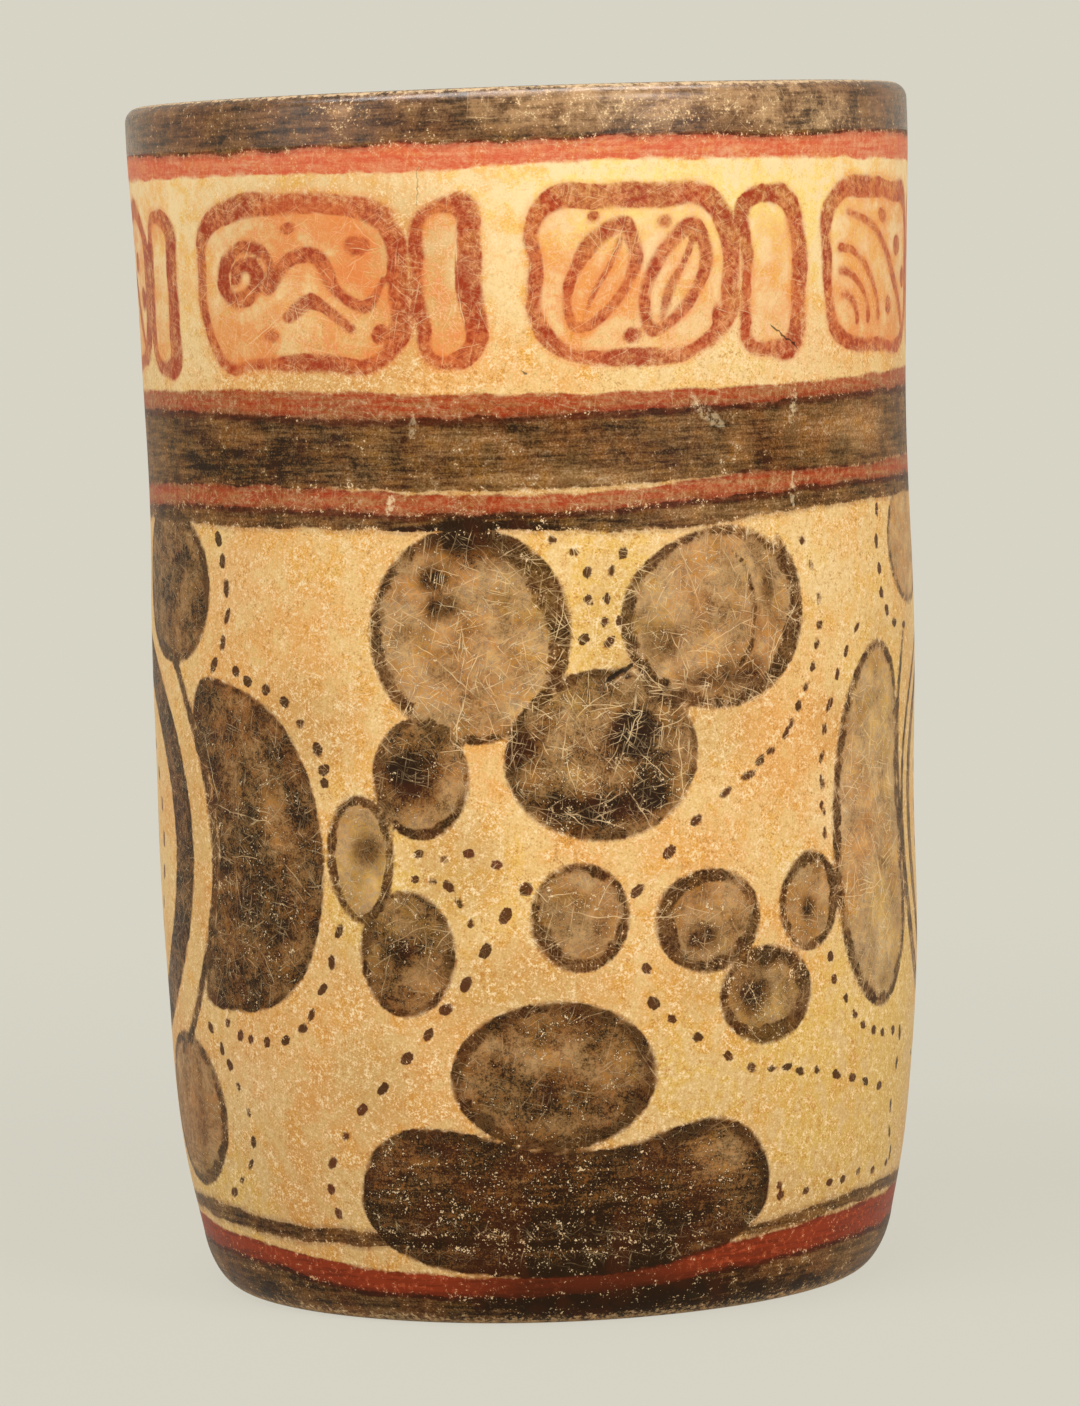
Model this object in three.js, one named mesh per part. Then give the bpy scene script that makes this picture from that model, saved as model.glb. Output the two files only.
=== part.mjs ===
// A hand-built cylinder vessel of fired clay: a flat slab closed by a tall, nearly straight wall.
// The wall is raised in two strips that meet at a slight waist, and a last coil makes the rounded lip.
// A thin coil is pressed into the inside corner, where it seals the wall to the slab.
// Millimetres, +Z up. The origin is the centre of the flat face that the vessel stands on.
import * as THREE from "three";

// Heights of the pieces, from the bottom up
const slabThickness = 8;
const lowerWallHeight = 135;
const upperWallHeight = 48;
const lipHeight = 9;

// Outside radius at the lip, and how far the outside of the wall stands in from it lower down
const lipRadius = 65.8;
const neckInset = 0.5;
const waistInset = 1.4;
const bellyInset = 1.0;
const bodyInset = 1.9;
const flareInset = 3.7;
const slabInset = 6.9;

// How far above the joint below them the places between the joints lie
const flareRise = 18;
const bodyRise = 48;
const bellyRise = 100;
const neckRise = 33;

// The clay itself
const wallThickness = 6;
const heelWidth = 5.4;
const lipRounding = 2.6;
const cornerCoilRadius = 4.5;

// Joints between the pieces: bevelled faces that slope down towards the inside
const waistBevel = 3;
const lipBevel = 1.5;
const jointGap = 0.3;

// Fineness of the turned surfaces
const facets = 72;
const ringSpacing = 14;
const arcSteps = 6;
const linePoints = 240;

// Heights of the joints and radii of the slab, worked out from the pieces
const wallFoot = slabThickness;
const waist = wallFoot + lowerWallHeight;
const lipJoint = waist + upperWallHeight;
const top = lipJoint + lipHeight;
const slabRadius = lipRadius - slabInset;
const footRadius = slabRadius - heelWidth;

// The outside of the wall is one smooth line through the named places
const outsideLine = new THREE.CatmullRomCurve3(
  [
    new THREE.Vector3(slabRadius, wallFoot),
    new THREE.Vector3(lipRadius - flareInset, wallFoot + flareRise),
    new THREE.Vector3(lipRadius - bodyInset, wallFoot + bodyRise),
    new THREE.Vector3(lipRadius - bellyInset, wallFoot + bellyRise),
    new THREE.Vector3(lipRadius - waistInset, waist),
    new THREE.Vector3(lipRadius - neckInset, waist + neckRise),
    new THREE.Vector3(lipRadius, lipJoint),
    new THREE.Vector3(lipRadius, top),
  ],
  false,
  "centripetal",
);
const outsidePoints = outsideLine.getPoints(linePoints);

// Outside radius of the wall at a height, read between the two nearest points of the line
function outsideRadius(z) {
  const above = outsidePoints.findIndex((point) => point.y >= z);
  if (above === 0) return outsidePoints[0].x;
  if (above < 0) return outsidePoints.at(-1).x;
  const low = outsidePoints[above - 1];
  const high = outsidePoints[above];
  return THREE.MathUtils.mapLinear(z, low.y, high.y, low.x, high.x);
}

function insideRadius(z) {
  return outsideRadius(z) - wallThickness;
}

// Points of one face of the wall between two heights, at a spacing no wider than ringSpacing
function wallFace(radiusAt, fromZ, toZ) {
  const steps = Math.max(1, Math.ceil(Math.abs(toZ - fromZ) / ringSpacing));
  return Array.from({ length: steps + 1 }, (_, i) => {
    const z = THREE.MathUtils.lerp(fromZ, toZ, i / steps);
    return new THREE.Vector2(radiusAt(z), z);
  });
}

// Points of an arc or quarter ellipse around a centre, from one angle to another
function arc(centreR, centreZ, radiusR, radiusZ, fromAngle, toAngle) {
  return Array.from({ length: arcSteps + 1 }, (_, i) => {
    const angle = THREE.MathUtils.lerp(fromAngle, toAngle, i / arcSteps);
    return new THREE.Vector2(centreR + radiusR * Math.cos(angle), centreZ + radiusZ * Math.sin(angle));
  });
}

// Turns a profile of (radius, height) points into a solid about the Z axis
function turned(name, profile, material) {
  const geometry = new THREE.LatheGeometry(profile, facets);
  geometry.rotateX(Math.PI / 2);
  const mesh = new THREE.Mesh(geometry, material);
  mesh.name = name;
  return mesh;
}

// A strip of wall between two joints; each joint face drops by its bevel from the outside to the inside
function wallStrip(name, bottomZ, bottomBevel, topZ, topBevel, material) {
  const outside = wallFace(outsideRadius, bottomZ + bottomBevel / 2, topZ + topBevel / 2);
  const inside = wallFace(insideRadius, topZ - topBevel / 2, bottomZ - bottomBevel / 2);
  return turned(name, [...outside, ...inside, outside[0].clone()], material);
}

const creamSlip = new THREE.MeshStandardMaterial({ color: 0xd9a95f, roughness: 0.55, metalness: 0 });
const blackSlip = new THREE.MeshStandardMaterial({ color: 0x3f3022, roughness: 0.5, metalness: 0 });
const bareClay = new THREE.MeshStandardMaterial({ color: 0xa9713f, roughness: 0.85, metalness: 0 });

// The floor: a clay slab with a rounded heel
function baseSlab() {
  const heel = arc(footRadius, slabThickness, slabRadius - footRadius, slabThickness, -Math.PI / 2, 0);
  return turned(
    "base_slab",
    [new THREE.Vector2(0, 0), ...heel, new THREE.Vector2(0, slabThickness)],
    blackSlip,
  );
}

// The coil pressed into the inside corner, a quarter round whose two flat sides face the slab and the wall
function cornerCoil() {
  const floor = slabThickness + jointGap;
  const cornerTop = floor + cornerCoilRadius;
  const wallSide = wallFace((z) => insideRadius(z) - jointGap, floor, cornerTop);
  const hollow = arc(
    wallSide[0].x - cornerCoilRadius, cornerTop, cornerCoilRadius, cornerCoilRadius, 0, -Math.PI / 2,
  ).slice(1);
  const bottomEdge = wallSide[0].clone();
  return turned("corner_coil", [...wallSide, ...hollow, bottomEdge], bareClay);
}

// The last coil, smoothed round outside and inside with a narrow flat land between
function lipCoil() {
  const bottomZ = lipJoint + jointGap;
  const roundingZ = top - lipRounding;
  const outerR = outsideRadius(roundingZ);
  const innerR = insideRadius(roundingZ);
  const outside = wallFace(outsideRadius, bottomZ + lipBevel / 2, roundingZ);
  const outerRound = arc(outerR - lipRounding, roundingZ, lipRounding, lipRounding, 0, Math.PI / 2).slice(1);
  const innerRound = arc(innerR + lipRounding, roundingZ, lipRounding, lipRounding, Math.PI / 2, Math.PI);
  const inside = wallFace(insideRadius, roundingZ, bottomZ - lipBevel / 2).slice(1);
  const profile = [...outside, ...outerRound, ...innerRound, ...inside, outside[0].clone()];
  return turned("lip_coil", profile, blackSlip);
}

const vessel = new THREE.Group();
vessel.add(
  baseSlab(),
  cornerCoil(),
  wallStrip("lower_wall", wallFoot + jointGap, 0, waist, waistBevel, creamSlip),
  wallStrip("upper_wall", waist + jointGap, waistBevel, lipJoint, lipBevel, creamSlip),
  lipCoil(),
);

export default vessel;
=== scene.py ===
import math
from types import SimpleNamespace

import bpy
import numpy as np
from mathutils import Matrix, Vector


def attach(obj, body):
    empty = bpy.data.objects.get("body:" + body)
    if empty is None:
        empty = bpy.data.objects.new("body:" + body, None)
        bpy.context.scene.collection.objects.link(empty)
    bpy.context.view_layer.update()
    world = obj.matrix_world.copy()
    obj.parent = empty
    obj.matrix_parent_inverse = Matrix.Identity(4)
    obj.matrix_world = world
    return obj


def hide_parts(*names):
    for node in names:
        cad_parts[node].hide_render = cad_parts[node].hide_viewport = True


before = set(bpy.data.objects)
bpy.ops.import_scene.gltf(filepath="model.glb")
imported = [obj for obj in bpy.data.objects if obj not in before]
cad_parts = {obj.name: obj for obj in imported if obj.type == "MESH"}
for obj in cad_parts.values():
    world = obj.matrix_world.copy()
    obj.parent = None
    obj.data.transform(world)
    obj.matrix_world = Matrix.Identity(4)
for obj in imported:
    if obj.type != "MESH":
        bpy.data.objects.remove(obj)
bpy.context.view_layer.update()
mm = 0.001


# Smooth line through knots (place, value): a cubic between each two, whose slope at a knot comes from its
# neighbours. With a period the line closes on itself.
def smoothThrough(x, knots, period=None):
    places, values = np.array(sorted(knots), float).T
    if period:
        places = np.concatenate([places - period, places, places + period])
        values = np.tile(values, 3)
    slopes = np.gradient(values, places)
    left = np.clip(np.searchsorted(places, x) - 1, 0, len(places) - 2)
    span = places[left + 1] - places[left]
    t = np.clip((x - places[left]) / span, 0, 1)
    rise = values[left + 1] - values[left]
    bend = (1 - t) * (slopes[left] * span - rise) + t * (rise - slopes[left + 1] * span)
    return values[left] + t * rise + t * (1 - t) * bend


def smoothStep(low, high, x):
    t = np.clip((x - low) / (high - low), 0, 1)
    return t * t * (3 - 2 * t)


# Difference of two directions or azimuths, from -180 to 180
def turnFrom(azimuth, start):
    return (azimuth - start + 180) % 360 - 180


# Closed or open smooth line through points, with a few short steps between each two of them
def smoothLine(points, closed=True, steps=8):
    here = np.array(points, float)
    if closed:
        before, after, last = (np.roll(here, way, 0) for way in (1, -1, -2))
    else:
        padded = np.vstack([2 * here[0] - here[1], here, 2 * here[-1] - here[-2]])
        before, here, after, last = padded[:-3], padded[1:-2], padded[2:-1], padded[3:]
    t = (np.arange(steps) / steps)[:, None, None]
    line = 0.5 * (
        2 * here
        + (after - before) * t
        + (2 * before - 5 * here + 4 * after - last) * t**2
        + (3 * here - before - 3 * after + last) * t**3
    )
    line = line.transpose(1, 0, 2).reshape(-1, 2)
    return line if closed else np.vstack([line, np.array(points[-1], float)])


# Each face's corners as (distance from the axis, height) in mm, and how far the face looks away from the axis
def cadFaces(node):
    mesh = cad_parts[node].data
    mesh.calc_loop_triangles()
    points = np.empty(len(mesh.vertices) * 3, np.float32)
    mesh.vertices.foreach_get("co", points)
    corners = np.empty(len(mesh.loop_triangles) * 3, np.int32)
    mesh.loop_triangles.foreach_get("vertices", corners)
    faces = points.reshape(-1, 3)[corners].reshape(-1, 3, 3) / mm
    normal = np.cross(faces[:, 1] - faces[:, 0], faces[:, 2] - faces[:, 0])
    middle = faces.mean(1)[:, :2]
    length = np.linalg.norm(normal, axis=1) * np.linalg.norm(middle, axis=1) + 1e-9
    return np.hypot(faces[..., 0], faces[..., 1]), faces[..., 2], (normal[:, :2] * middle).sum(1) / length


# Knots (height, radius) of the outside (way 1) or inside (way -1) of a CAD node
def cadLine(node, way):
    radius, height, facing = cadFaces(node)
    radius, height = radius[facing * way > 0.9], height[facing * way > 0.9]
    levels = np.unique(np.round(height, 2))
    return [(z, radius[np.abs(height - z) < 0.02].max()) for z in levels]


lowerOutside, lowerInside = cadLine("lower_wall", 1), cadLine("lower_wall", -1)
upperOutside, upperInside = cadLine("upper_wall", 1), cadLine("upper_wall", -1)
lipRadius, lipHeight, _ = cadFaces("lip_coil")
slabRadius, slabHeight, _ = cadFaces("base_slab")
coilRadius, coilHeight, _ = cadFaces("corner_coil")
lipLand = lipRadius[lipHeight > lipHeight.max() - 0.01]

# Sizes of the clay, read from the CAD nodes
clay = {
    "top": lipHeight.max(),
    "floor": (slabHeight.max() + lowerOutside[0][0]) / 2,
    "waistOutside": (lowerOutside[-1][0] + upperOutside[0][0]) / 2,
    "waistInside": (lowerInside[-1][0] + upperInside[0][0]) / 2,
    "lipOutside": (upperOutside[-1][0] + cadLine("lip_coil", 1)[0][0]) / 2,
    "lipInside": (upperInside[-1][0] + cadLine("lip_coil", -1)[0][0]) / 2,
    "footRadius": slabRadius[slabHeight < 0.01].max(),
    "lipRounding": lipRadius.max() - lipLand.max(),
    "wall": lipRadius.max() - lipLand.max() + lipLand.min() - lipRadius.min() + np.ptp(lipLand),
    "coilTop": coilHeight.max(),
    "coilReach": np.ptp(coilRadius),
}
outsideKnots = lowerOutside + upperOutside + [(clay["top"], lipRadius.max())]


def outsideLine(height):
    return smoothThrough(height, outsideKnots)


paintRadius = float(outsideLine(100.0))  # the radius half way up turns an azimuth into a distance
mmPerDegree = math.radians(1) * paintRadius


# Distance in mm along the surface from one azimuth to others, the short way round
def acrossFrom(azimuth, start):
    return turnFrom(azimuth, start) * mmPerDegree


# Unevenness of hand work: how high its waves are, and how the axis leans to one side with height
handWork = {
    "waves": 16,
    "height": 0.20,
    "insideHeight": 0.45,
    "calmAboveFloor": 25,  # the inside is even near the floor and near the lip
    "calmBelowTop": 12,
    "seed": 5,
    "lean": ((0, -0.55), (50, -0.26), (100, 0.10), (150, 0.29), (200, 0.09)),
    "rimTilt": 0.0016,
}

# Places where the surface is cut or pushed in: from and to (azimuth, height), width, depth
dents = (
    {"start": (10.4, 105.0), "end": (14.4, 107.4), "width": 1.0, "depth": 0.9},  # chip with a dark slit
    {"start": (11.6, 103.8), "end": (15.0, 105.4), "width": 1.5, "depth": -0.35},  # flaky lip under it
    {"start": (-8.0, 151.6), "end": (4.5, 145.6), "width": 0.9, "depth": 0.16},  # crease over the joint
    {"start": (37.6, 161.0), "end": (43.2, 157.0), "width": 0.8, "depth": 0.15},  # crease in the scroll band
    {"start": (-7.5, 22.0), "end": (4.0, 28.4), "width": 1.4, "depth": -0.25},  # ridge in the foot's slip
)
dentCore, dentEdge = 0.2, 1.3  # full depth up to this share of the width, and none from this one


# Sum of waves that run round the vessel and up it, with lengths and phases drawn from a seed
def unevenness(azimuth, height, seed):
    draw = np.random.default_rng(seed)
    total = 0.0
    for _ in range(handWork["waves"]):
        around, tall, phase = draw.integers(1, 7), draw.uniform(40, 140), draw.uniform(0, 2 * math.pi)
        total = total + np.cos(around * np.radians(azimuth) + 2 * math.pi * height / tall + phase)
    return total / math.sqrt(handWork["waves"])


# Points measured against the straight stretch between two places: how far along it the nearest spot lies,
# from 0 to 1, and the distance to that spot
def stretchDistance(across, up, start, end):
    reach = end - start
    side, rise = across - start[0], up - start[1]
    share = np.clip((side * reach[0] + rise * reach[1]) / (reach @ reach + 1e-12), 0, 1)
    return share, np.hypot(side - share * reach[0], rise - share * reach[1])


# Outside radius: the CAD line, or the quarter ellipse of the heel below it, plus unevenness and dents
def outsideRadius(azimuth, height):
    floor, step = clay["floor"], 6.0
    slope = (outsideLine(floor + step) - outsideLine(floor)) / step
    wall = outsideLine(np.maximum(height, floor)) + slope * np.minimum(height - floor, 0)
    tuck = outsideLine(floor) - slope * floor - clay["footRadius"]
    heel = 1 - np.sqrt(np.clip(1 - np.clip(1 - height / floor, 0, 1) ** 2, 0, 1))
    radius = wall - tuck * heel + handWork["height"] * unevenness(azimuth, height, handWork["seed"])
    for dent in dents:
        (start, low), (end, high) = dent["start"], dent["end"]
        reach = np.array([(end - start) * mmPerDegree, high - low])
        _, away = stretchDistance(acrossFrom(azimuth, start), height - low, np.zeros(2), reach)
        radius = radius - dent["depth"] * (1 - smoothStep(dentCore, dentEdge, away / dent["width"]))
    return radius


# Inside radius: the same line less the wall's thickness, with an unevenness of its own
def insideRadius(azimuth, height):
    floor, top = clay["floor"], clay["top"]
    line = outsideLine(np.maximum(height, floor)) - clay["wall"]
    calm = smoothStep(floor, floor + handWork["calmAboveFloor"], height)
    calm = calm * smoothStep(top, top - handWork["calmBelowTop"], height)
    return line + handWork["insideHeight"] * calm * unevenness(azimuth, height, handWork["seed"] + 1)


# The paint is kept as distances in mm to the edge of each painted shape, negative inside it
farAway = 6.0

# The bands: heights of the brush lines (azimuth, height), which close round the back
bandEdges = {
    "rimBlackLow": ((-180, 191.4), (-80, 191.7), (-52, 191.0), (-18, 191.3), (0, 191.1), (18, 191.5),
                    (44, 190.8), (60, 191.4), (80, 191.0), (130, 191.7)),
    "rimRedLow": ((-180, 187.2), (-90, 187.5), (-39, 187.5), (-10, 187.1), (4, 187.8), (32, 187.6),
                  (80, 186.9)),
    "waistRedTop": ((-180, 152.3), (-94, 152.5), (-30, 152.5), (-11, 151.5), (21, 151.0), (43, 151.2),
                    (81, 152.4)),
    "waistBlackTop": ((-180, 149.4), (-93, 149.6), (-57, 149.5), (-20, 147.9), (2, 148.0), (31, 148.4),
                      (59, 149.2), (81, 149.4)),
    "waistBlackLow": ((-180, 137.0), (-80, 136.9), (-58, 137.5), (-20, 136.5), (3, 135.9), (21, 136.5),
                      (32, 137.2), (43, 136.9), (78, 137.7)),
    "paleGap": ((-180, 0.0), (-60, -0.3), (-33, -0.2), (-24, 0.3), (0, 0.7), (15, 0.7), (24, 0.3),
                (31, -0.2), (60, -0.2), (120, 0.4)),
    "lowRedLow": ((-180, 133.2), (-92, 132.7), (-58, 133.9), (-31, 133.0), (-20, 132.4), (20, 132.6),
                  (32, 133.4), (58, 134.3), (95, 133.8)),
    "lowBlackLow": ((-180, 130.6), (-73, 131.1), (-43, 130.6), (-21, 130.0), (0, 129.4), (16, 128.9),
                    (25, 128.9), (36, 130.2), (58, 131.2), (96, 131.2)),
    "footLineTop": ((-180, 15.8), (-94, 16.6), (-60, 17.1), (-43, 15.8), (-28, 15.9), (34, 14.4),
                    (45, 15.7), (62, 16.8), (80, 16.6)),
    "footLineLow": ((-180, 13.6), (-90, 14.8), (-61, 14.0), (-44, 13.1), (-28, 13.4), (37, 12.7),
                    (53, 14.0), (63, 14.7), (84, 13.9)),
    "footRedTop": ((-180, 11.0), (-110, 12.8), (-70, 12.8), (-52, 11.7), (-35, 9.9), (-18, 8.8), (3, 8.6),
                   (16, 9.7), (26, 11.3), (38, 12.7), (63, 14.1), (84, 14.0), (120, 12.5)),
    "footRedLow": ((-180, 7.6), (-110, 8.8), (-70, 9.0), (-52, 8.6), (-36, 6.1), (-18, 5.3), (3, 5.1),
                   (16, 6.0), (27, 7.2), (39, 8.3), (66, 8.8), (84, 8.9), (120, 8.4)),
    "insideBlackLow": ((-180, 194.2), (-120, 193.4), (-40, 194.6), (30, 193.2), (110, 194.8)),
}
brushWaver = {"height": 0.16, "waves": 12, "fewest": 9, "most": 46}  # small unsteadiness of every line


# Height of a brush line at an azimuth, with the unsteadiness of the brush added
def brushLine(azimuth, name):
    draw = np.random.default_rng(sum(map(ord, name)))
    height = smoothThrough(turnFrom(azimuth, 0), bandEdges[name], period=360)
    for _ in range(brushWaver["waves"]):
        count, phase = draw.integers(brushWaver["fewest"], brushWaver["most"]), draw.uniform(0, 2 * math.pi)
        height = height + brushWaver["height"] / math.sqrt(brushWaver["waves"]) * np.cos(
            count * np.radians(azimuth) + phase)
    return height


# Distances to the black and the red bands that run round the vessel. A band may run a little under its
# neighbour, below its lower line or above its upper one
def bandDistances(azimuth, height, inside=False):
    line = {name: brushLine(azimuth, name) for name in bandEdges}
    if inside:
        return line["insideBlackLow"] - height, np.full_like(height, farAway)

    def band(low, top, below=0.0, above=0.0):
        return np.maximum(line[low] - below - height, height - line[top] - above)

    black = np.minimum.reduce([
        line["rimBlackLow"] - height,
        band("waistBlackLow", "waistBlackTop"),
        band("lowBlackLow", "lowRedLow", above=0.4),
        band("footLineLow", "footLineTop"),
        height - line["footRedLow"],
    ])
    red = np.minimum.reduce([
        band("rimRedLow", "rimBlackLow", above=0.5),
        band("waistBlackTop", "waistRedTop", below=1.2),
        band("lowRedLow", "waistBlackLow", below=0.6, above=-line["paleGap"]),
        band("footRedLow", "footRedTop", below=0.8),
    ])
    return np.clip(black, -farAway, farAway), np.clip(red, -farAway, farAway)


# Bumps round a shape: the sum of (direction, amount, spread) at a direction, each a bell curve
def roundBumps(direction, bumps):
    total = np.zeros_like(direction)
    for middle, amount, spread in bumps:
        total = total + amount * np.exp(-0.5 * (turnFrom(direction, middle) / spread) ** 2)
    return total


# Signed distance to an oval, to first order: its level above the rim over the slope of that level
def ovalDistance(across, up, half, lumps=()):
    reach = 1 + roundBumps(np.degrees(np.arctan2(up, across)), lumps)
    level = np.hypot(across / half[0], up / half[1]) / reach + 1e-6
    slope = np.hypot(across / half[0] ** 2, up / half[1] ** 2) / (level * reach**2) + 1e-6
    return (level - 1) / slope


# Signed distance to a closed line: to its nearest piece, negative where an odd number of pieces lies above
def outlineDistance(across, up, line):
    nearest = np.full(across.shape, np.inf)
    inside = np.zeros(across.shape, bool)
    for start, end in zip(line, np.roll(line, -1, 0)):
        nearest = np.minimum(nearest, stretchDistance(across, up, start, end)[1])
        spans = (start[0] > across) != (end[0] > across)
        rise = (end[1] - start[1]) / (end[0] - start[0]) if end[0] != start[0] else 0.0
        inside ^= spans & (up < start[1] + rise * (across - start[0]))
    return np.where(inside, -nearest, nearest)


# Distance to an open line less half its width, which goes from one end through the middle to the other
def openLineDistance(across, up, line, half):
    widths = np.interp(np.linspace(0, 1, len(line)), (0, 0.5, 1), half)
    nearest = np.full(across.shape, np.inf)
    for i in range(len(line) - 1):
        share, away = stretchDistance(across, up, line[i], line[i + 1])
        nearest = np.minimum(nearest, away - widths[i] - share * (widths[i + 1] - widths[i]))
    return nearest


# Oval spots: place, half size, tone of the wash, and width of the dark ring. The ring's extra width and the
# outline's lumps are given as (direction, amount, spread). An inner of 1 makes the ring's inner side crisp
ovals = (
    {"at": (-9.2, 113.4), "half": (16.6, 17.0), "tone": 0.47, "ring": 1.4, "lumps": ((-78, 0.05, 22),),
     "heavy": ((48, 2.6, 32), (5, 1.9, 30), (180, 1.0, 38), (228, 0.4, 25))},
    {"at": (27.5, 114.4), "half": (16.9, 14.8), "tone": 0.45, "ring": 1.0, "lumps": ((120, -0.05, 20),),
     "heavy": ((185, 1.2, 45), (-15, 2.0, 40), (60, 0.6, 30), (250, 0.9, 18))},
    {"at": (9.8, 93.2), "half": (15.6, 13.8), "tone": 0.68, "ring": 0.7, "lumps": ((200, 0.05, 25),),
     "heavy": ((180, 2.0, 25), (250, 1.6, 30), (95, 1.2, 30))},
    {"at": (-16.8, 90.2), "half": (8.1, 9.8), "tone": 0.64, "ring": 1.0, "inner": 0.7,
     "heavy": ((180, 1.2, 45), (-60, 0.8, 30), (60, 0.5, 30))},
    {"at": (-26.5, 77.6), "half": (6.1, 10.4), "tone": 0.40, "ring": 1.6,
     "lumps": ((90, -0.05, 20), (-85, 0.06, 14)), "inner": 1.0},
    {"at": (-19.7, 62.0), "half": (8.3, 10.1), "tone": 0.72, "ring": 1.2, "lumps": ((-110, 0.05, 25),),
     "heavy": ((180, 0.9, 40), (0, 0.9, 40))},
    {"at": (5.7, 67.2), "half": (8.1, 8.8), "tone": 0.50, "ring": 1.3, "inner": 0.6,
     "heavy": ((215, 2.1, 34), (-30, 0.9, 35), (75, 0.5, 30))},
    {"at": (25.2, 65.4), "half": (9.6, 8.4), "tone": 0.58, "ring": 1.7, "lumps": ((150, 0.04, 15),),
     "inner": 0.6, "heavy": ((182, 1.9, 28), (-45, 1.2, 35), (115, 0.6, 30))},
    {"at": (43.4, 66.6), "half": (6.9, 7.9), "tone": 0.46, "ring": 1.5, "lumps": ((95, 0.08, 16),),
     "inner": 0.7, "heavy": ((5, 0.9, 30), (100, 1.0, 20))},
    {"at": (35.2, 52.3), "half": (9.6, 8.0), "tone": 0.60, "ring": 1.7, "lumps": ((120, 0.05, 20),),
     "inner": 0.6, "heavy": ((20, 1.5, 42), (-80, 1.6, 36), (95, 1.0, 25))},
    {"at": (1.4, 41.3), "half": (17.2, 12.2), "tone": 0.77, "ring": 2.0,
     "lumps": ((60, 0.03, 30), (-120, -0.03, 30)), "heavy": ((-20, 1.2, 40), (200, 0.8, 40))},
    {"at": (-68.0, 121.0), "half": (15.2, 13.2), "tone": 0.78, "ring": 1.6, "lumps": ((-50, 0.05, 20),),
     "heavy": ((0, 0.8, 40),)},
    {"at": (-70.0, 32.4), "half": (14.6, 13.0), "tone": 0.52, "ring": 2.0, "heavy": ((-40, 0.6, 40),)},
    {"at": (77.5, 124.0), "half": (12.8, 11.2), "tone": 0.26, "ring": 1.0, "heavy": ((215, 0.5, 30),)},
    # round the back
    {"at": (161.0, 114.0), "half": (14.5, 14.6), "tone": 0.5, "ring": 1.7, "lumps": ((-95, 0.06, 24),),
     "heavy": ((130, 1.8, 38), (0, 1.0, 34))},
    {"at": (190.0, 113.0), "half": (13.4, 13.2), "tone": 0.46, "ring": 1.5, "heavy": ((-30, 1.2, 50),)},
    {"at": (175.0, 91.0), "half": (13.6, 12.0), "tone": 0.66, "ring": 1.1, "lumps": ((20, 0.05, 25),),
     "heavy": ((250, 2.4, 45), (170, 1.2, 28))},
    {"at": (155.5, 84.0), "half": (7.4, 8.6), "tone": 0.6, "ring": 1.5, "heavy": ((0, 0.9, 40),)},
    {"at": (193.5, 80.0), "half": (6.4, 9.6), "tone": 0.46, "ring": 1.6, "lumps": ((90, 0.06, 14),)},
    {"at": (171.0, 66.5), "half": (8.6, 8.2), "tone": 0.56, "ring": 1.7, "heavy": ((200, 1.4, 40),)},
    {"at": (187.5, 58.5), "half": (8.4, 8.0), "tone": 0.7, "ring": 1.4, "heavy": ((60, 1.0, 40),)},
    {"at": (154.0, 59.0), "half": (7.2, 8.4), "tone": 0.5, "ring": 1.6, "heavy": ((-60, 1.0, 40),)},
    {"at": (171.5, 40.6), "half": (16.4, 11.8), "tone": 0.76, "ring": 2.2, "lumps": ((120, 0.03, 30),),
     "heavy": ((-150, 1.0, 40),)},
    {"at": (146.0, 121.0), "half": (9.0, 8.6), "tone": 0.72, "ring": 1.4},
    {"at": (214.0, 32.0), "half": (11.0, 12.4), "tone": 0.55, "ring": 1.9},
)

# Spots with an outline of their own, as (azimuth, height) points
wings = ((-29, 22.6), (-26.5, 29.4), (-21, 33.0), (-14, 33.0), (-8, 31.4), (-2, 29.6), (6, 29.2),
         (13, 30.0), (19, 32.0), (26, 33.2), (32, 30.6), (35.8, 24), (35.4, 17), (30, 12.0), (20, 9.5),
         (8, 8.3), (-5, 8.4), (-17, 9.8), (-25, 13.2), (-28.8, 18.2))
outlines = (
    {"points": wings, "tone": 0.94, "ring": 1.2, "heavy": ((20, 1.6, 30), (180, 0.8, 30))},
    {"points": tuple((172 + 0.86 * azimuth, height) for azimuth, height in wings), "tone": 0.9, "ring": 1.4,
     "heavy": ((20, 1.6, 30),)},
    # the dark leaf beside the left medallion, and its fellow on the medallion's far side
    {"points": ((-57, 105.6), (-48, 104.2), (-41, 100.4), (-36.4, 94), (-33.6, 86), (-32.6, 76),
                (-33.8, 66.6), (-37, 58), (-43, 52.6), (-51, 50.8), (-60.4, 52.2), (-58.2, 61), (-55.4, 70),
                (-54.6, 79), (-56.2, 89), (-60.6, 99.6)), "tone": 0.86, "ring": 0.9,
     "heavy": ((180, 0.9, 40),)},
    {"points": ((222, 105), (213, 103), (206.4, 96), (203, 86), (202.4, 74), (205, 62), (211, 53.6),
                (221, 51), (224, 60), (226.4, 71), (226.8, 82), (225, 95)), "tone": 0.84, "ring": 1.0},
    # the tall pale leaf beside the right medallion, and its fellow
    {"points": ((61.6, 108), (56, 105.2), (51.6, 98), (49, 88), (48.2, 77), (49.4, 66), (52, 57),
                (56, 50.6), (61.4, 47), (66.6, 48), (70, 53), (71.4, 61), (69.6, 71), (68.6, 83),
                (68.8, 95), (66.8, 104)), "tone": 0.36, "ring": 1.5,
     "heavy": ((180, 0.5, 60), (-90, 0.9, 25))},
    {"points": ((133, 107), (139, 101), (142.6, 90), (143.4, 77), (141, 63), (136, 52), (129, 48.6),
                (125.4, 57), (127.4, 70), (127.8, 84), (126.8, 98)), "tone": 0.4, "ring": 1.5,
     "heavy": ((0, 0.5, 60),)},
)

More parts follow.
